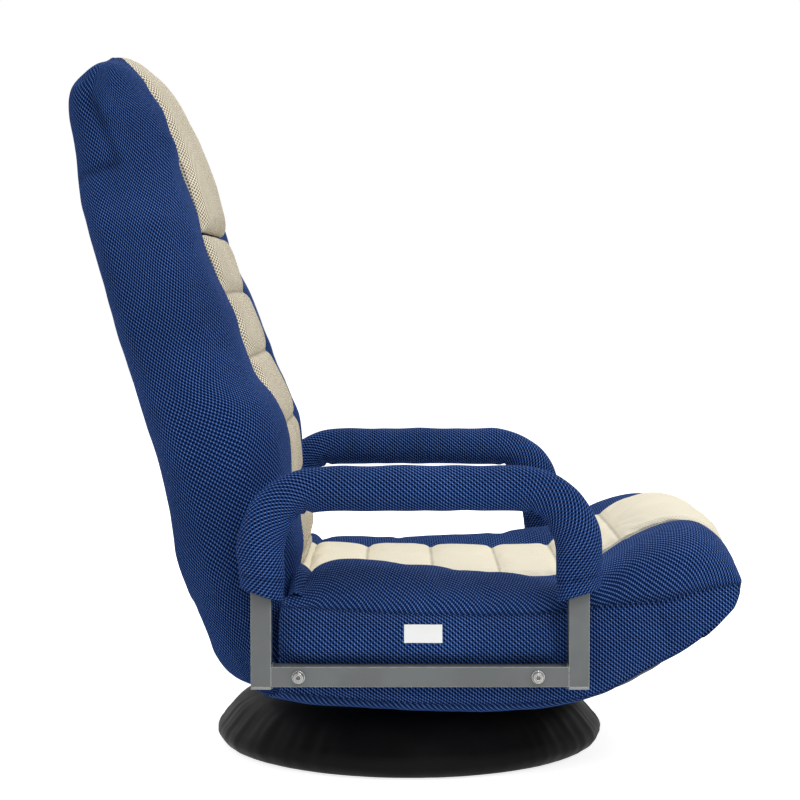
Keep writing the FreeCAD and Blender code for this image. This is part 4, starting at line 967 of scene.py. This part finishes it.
# %% Sew the crease strip
strip_line = smooth_line(mm([(-100, 194), (-104.5, 198.5), (-108, 202.2), (-112, 204.8), (-116.5, 205.8),
    (-120, 203.5), (-122.5, 199)]), 30)
strip_half, strip_across = 0.240, 60
lengths = run_of(strip_line)
strip_y = (np.arange(strip_across + 1) / strip_across * 2 - 1) * strip_half
strip_rise = (0.011 * ease(-strip_y, 0.121, 0.150) + 0.003 * ease(strip_y, 0.121, 0.150)
              - 0.018 * ease(np.abs(strip_y), 0.180, 0.240))
points = [(x, y, z + rise) for x, z in strip_line for y, rise in zip(strip_y, strip_rise)]
strip = sheet_piece("crease_strip", points, strip_across + 1, lambda i, j: (strip_y[j], lengths[i]))
apply_modifier(strip, "SOLIDIFY", thickness=0.0012, offset=0.0)
strip.data.materials.append(blue_seat)
strip.data.materials.append(cream_seat)
for face in strip.data.polygons:
    face.material_index = 1 if abs(face.center[1]) < panel_half else 0
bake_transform(strip)
print("crease strip:", len(strip.data.polygons), "faces")

# %% [markdown]
# ## Paint, zinc, plastic and rubber
#
# The hard parts keep their imported shapes and get finishes of their own. One node group gives every finish
# its fine grain, its soft cloudy tone and its edges: a Bevel node bends the normal next to a sharp edge, so
# the edge catches a line of light as a real rolled edge does, and where it differs most from the flat
# normal the colour is lightened, as paint rubbed thin and as a painted highlight along the edge. An
# occlusion mask paints shade into corners, sockets and the faces that lie under the cushion.

# %% Grain, cloud, worn and lit edges, painted shade
def make_wear_and_painted_light():
    group, start, end = new_group("grain, worn and lit edges, painted shade", {"Grain": 900.0, "Edge": 0.0014, "Reach": 0.006},
                                  ("Grain", "Cloud", "Rub", "Corner", "Normal"))
    rounded = place(group, "Bevel", {"samples": 4}, Radius=start["Edge"]).outputs[0]
    flat = place(group, "NewGeometry").outputs["Normal"]
    edge = between(group, vectors(group, "DOT_PRODUCT", rounded, flat), 0.86, 0.995, 1.0, 0.0)
    # Edges lighten: paint rubbed thin, and also a painted highlight along the edge.
    edge_wear_and_highlight = maths(group, "MULTIPLY", edge, between(group, patches(group, 120.0, 3.0), 0.35, 0.55, 0.45, 1.0))
    # Painted shade: where ambient occlusion finds close surfaces, the colour darkens.
    closed = place(group, "AmbientOcclusion", {"samples": 4}, Distance=start["Reach"]).outputs["AO"]
    feed(end, Grain=patches(group, start["Grain"], 2.0), Cloud=patches(group, 26.0, 4.0), Rub=edge_wear_and_highlight,
         Corner=between(group, closed, 0.30, 0.85, 0.92, 0.0), Normal=rounded)
    return group


wear_and_painted_light = make_wear_and_painted_light()

# %% Finishes of the hard parts
def hard_finish(name, dark, light, edge_wear_and_highlight_colour, grain, rough, height, metal=0.0, reach=0.006):
    """Two drifting tones, lighter edges as wear and painted highlight, painted corner shade, and fine grain.
    """
    material, tree, surface, _ = named_material(name)
    wear_light_and_shade = place(tree, "Group", {"node_tree": wear_and_painted_light}, Grain=grain, Reach=reach).outputs
    tone = mixed(tree, between(tree, wear_light_and_shade["Cloud"], 0.35, 0.65), dark, light)
    # Edges lighten towards the third colour: wear, and a painted highlight.
    tone = mixed(tree, wear_light_and_shade["Rub"], tone, edge_wear_and_highlight_colour)
    # Painted shade: occluded corners darken towards near black.
    tone = mixed(tree, wear_light_and_shade["Corner"], tone, (0.012, 0.012, 0.012, 1))
    feed(surface, Base_Color=tone, Roughness=between(tree, wear_light_and_shade["Grain"], 0.3, 0.7, *rough), Metallic=metal,
         Normal=bumped(tree, wear_light_and_shade["Grain"], 0.5, height, Normal=wear_light_and_shade["Normal"]))
    return material


# The third colour of each finish is its lightened edge, worn paint and a painted highlight. The reach, given
# for the grey paint and the zinc, is how far the painted corner shade looks; on the grey paint it darkens the
# rail's top under the cushion.
finishes = {
    "grey_paint": hard_finish("grey powder coat", (0.112, 0.121, 0.120, 1), (0.132, 0.142, 0.141, 1),
                              (0.50, 0.51, 0.50, 1), 1300.0, (0.40, 0.52), 0.00012, 0.0, 0.014),
    "black_paint": hard_finish("black enamel", (0.010, 0.010, 0.011, 1), (0.022, 0.022, 0.023, 1),
                               (0.10, 0.095, 0.09, 1), 700.0, (0.30, 0.45), 0.00010),
    "zinc_steel": hard_finish("zinc plating", (0.16, 0.16, 0.155, 1), (0.28, 0.28, 0.27, 1),
                              (0.78, 0.78, 0.77, 1), 420.0, (0.22, 0.42), 0.00006, 1.0, 0.0035),
    "grey_plastic": hard_finish("grey moulded plastic", (0.27, 0.285, 0.285, 1), (0.33, 0.345, 0.345, 1),
                                (0.42, 0.43, 0.43, 1), 2200.0, (0.45, 0.60), 0.00008),
    "black_rubber": hard_finish("black rubber", (0.012, 0.012, 0.012, 1), (0.024, 0.024, 0.023, 1),
                                (0.05, 0.05, 0.05, 1), 1600.0, (0.72, 0.88), 0.00015),
}
dressed = 0
for row in frame["record"]["subparts"]:
    if row["material_slot"] in finishes:
        for slot in nodes[row["node"]].material_slots:
            slot.material = finishes[row["material_slot"]]
        dressed += 1
print("packed nodes with a finish:", dressed)

# %% [markdown]
# ## Welds
#
# Each rail is welded between the two uprights of its arm. A weld is a short run of overlapping scales in
# the corner. One bead is made from a thin cylinder: it is laid across the tube, divided along its length,
# and every second ring is drawn in. The bead is then copied to each corner with a mesh of its own.

# %% Model one bead
pick()
bead_length, bead_cuts = 0.0185, 15
bpy.ops.mesh.primitive_cylinder_add(vertices=12, radius=0.0021, depth=bead_length, end_fill_type="TRIFAN")
bead = bpy.context.active_object
bead.name = "weld_bead"
bpy.ops.object.mode_set(mode="EDIT")
bpy.ops.mesh.select_all(action="SELECT")
bpy.ops.transform.rotate(value=math.pi / 2, orient_axis="X", center_override=(0, 0, 0))
bpy.ops.mesh.select_mode(type="EDGE")
bpy.ops.mesh.select_all(action="DESELECT")
bpy.ops.object.mode_set(mode="OBJECT")
for line in bead.data.edges:
    first, second = (bead.data.vertices[i].co for i in line.vertices)
    line.select = abs(first.y - second.y) > 0.010
bpy.ops.object.mode_set(mode="EDIT")
bpy.ops.mesh.subdivide(number_cuts=bead_cuts)
bpy.ops.mesh.select_mode(type="VERT")
bpy.ops.object.mode_set(mode="OBJECT")
rings = coordinates(bead.data)
step = np.rint((rings[:, 1] / bead_length + 0.5) * (bead_cuts + 1)).astype(int)
scale = np.where(step % 2 == 0, 0.80, 1.06)
scale[(step == 0) | (step == bead_cuts + 1)] = 0.55
rings[:, [0, 2]] *= scale[:, None]
set_coordinates(bead.data, rings)
apply_modifier(bead, "SUBSURF", levels=1, render_levels=1)
bpy.ops.object.shade_smooth()
print("bead:", len(bead.data.polygons), "faces")

# %% Copy it to the corners
corners = []
for node in ("arm_rail_right", "arm_rail_left"):
    low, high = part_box(node)
    for x in (low[0] + 0.0004, high[0] - 0.0004):
        for z in (low[2] - 0.0002, high[2] + 0.0002):
            corners.append((x, (low[1] + high[1]) / 2, z))
for number, corner in enumerate(corners):
    copy = bpy.data.objects.new("weld_%d" % (number + 1), bead.data.copy())
    bpy.context.scene.collection.objects.link(copy)
    copy.data.transform(Matrix.Translation(corner))
    dress(copy, finishes["grey_paint"], "grey_paint", "seat")
bpy.data.objects.remove(bead)

# %% [markdown]
# ## The label
#
# A bare white woven label is sewn to the right side of the seat. A plane is laid at its size, turned
# upright, divided so that it can follow the cushion, and given its thickness.

# %% Lay and sew the label
low_corner, high_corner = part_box("side_tag")
pick()
bpy.ops.mesh.primitive_plane_add(size=1.0, location=(0, 0, 0))
label = bpy.context.active_object
label.name = "side_label"
bpy.ops.object.mode_set(mode="EDIT")
bpy.ops.mesh.select_all(action="SELECT")
bpy.ops.transform.resize(value=(high_corner[0] - low_corner[0], high_corner[2] - low_corner[2], 1.0))
bpy.ops.transform.rotate(value=-math.pi / 2, orient_axis="X", center_override=(0, 0, 0))
bpy.ops.mesh.subdivide(number_cuts=15)
bpy.ops.object.mode_set(mode="OBJECT")
middle = (Vector(low_corner) + Vector(high_corner)) / 2
flat_points = coordinates(label.data)
curl = 0.0006 * np.sin(flat_points[:, 0] * 160.0) - 0.0010 * (np.abs(flat_points[:, 2]) / 0.009) ** 3
roll = side_roll(flat_points[:, 0] + middle.x, flat_points[:, 2] + middle.z)
set_coordinates(label.data, flat_points + np.stack([np.full(len(curl), middle.x),
                                                    low_corner[1] - 0.0006 - curl * 0.5 - roll,
                                                    np.full(len(curl), middle.z)], axis=1))
apply_modifier(label, "SOLIDIFY", thickness=0.0006, offset=0.0)
apply_modifier(label, "BEVEL", width=0.0002, segments=2)
bpy.ops.object.shade_smooth()
woven, tree, surface, _ = named_material("white woven tape")
spot = place(tree, "TexCoord").outputs["Object"]
rows = place(tree, "TexWave", {"bands_direction": "Z"}, Vector=spot, Scale=520.0).outputs["Fac"]
feed(surface, Base_Color=mixed(tree, rows, (0.84, 0.84, 0.83, 1), (0.92, 0.92, 0.91, 1)), Roughness=0.6,
     Normal=bumped(tree, rows, 0.25, 0.0002))
dress(label, woven, "white_tag", "seat", "side_tag")

# %% [markdown]
# ## The light, the floor and the camera
#
# The photograph was taken square to the chair's right side from a little above the seat, with a long lens.
# The floor is pale, and a soft lamp high in front and above gives the light edges on the cushions.

# %% Floor, lights and camera
def seen(tree):
    """1 for what the camera sees straight, mirrored or through glass."""
    rays = place(tree, "LightPath").outputs
    return maths(tree, "MAXIMUM", maths(tree, "MAXIMUM", rays["Is Camera Ray"], rays["Is Glossy Ray"]),
                 rays["Is Transmission Ray"])


world = bpy.data.worlds.new("studio")
bpy.context.scene.world = world
world.use_nodes = True
tree = world.node_tree
tree.nodes.clear()
glow = maths(tree, "MULTIPLY_ADD", seen(tree), 0.45, 0.55)
sky = place(tree, "Background", Color=(1, 1, 1, 1), Strength=glow)
place(tree, "OutputWorld", i0=sky.outputs[0])

pick()
bpy.ops.mesh.primitive_circle_add(vertices=96, radius=9.0, fill_type="NGON", location=(0, 0, 0))
floor = bpy.context.active_object
floor.name = "floor"
material, tree, surface, end = named_material("pale floor")
tone = mixed(tree, patches(tree, 2.0, 2.0), (0.93, 0.93, 0.93, 1), (0.95, 0.95, 0.95, 1))
feed(surface, Base_Color=tone, Roughness=0.9, Specular_IOR_Level=0.0)
glow = place(tree, "Emission", Strength=maths(tree, "MULTIPLY", seen(tree), 0.80))
feed(end, i0=place(tree, "AddShader", i0=surface.outputs[0], i1=glow.outputs[0]).outputs[0])
floor.data.materials.append(material)


def lamp(name, spot, aim, size, power):
    """A square soft light turned towards a point."""
    light = bpy.data.lights.new(name, "AREA")
    light.size = size
    light.energy = power
    piece = bpy.data.objects.new(name, light)
    bpy.context.scene.collection.objects.link(piece)
    piece.location = spot
    piece.rotation_euler = (Vector(aim) - Vector(spot)).to_track_quat("-Z", "Y").to_euler()


aim = (0.0, 0.0, 0.35)
lamp("key", (0.9, -1.9, 2.6), aim, 1.6, 44)
lamp("fill", (-2.2, -1.6, 1.3), aim, 2.0, 3)
lamp("back", (0.3, 2.2, 2.4), aim, 2.0, 30)

camera = bpy.data.cameras.new("camera")
camera.lens = 93.33
camera.sensor_width = 36
camera_piece = bpy.data.objects.new("camera", camera)
bpy.context.scene.collection.objects.link(camera_piece)
camera_piece.location = (-0.010, -2.308, 0.504)
camera_piece.rotation_euler = (math.radians(90 - 3.077), 0, 0)
bpy.context.scene.camera = camera_piece
bpy.context.scene.view_settings.view_transform = "Standard"
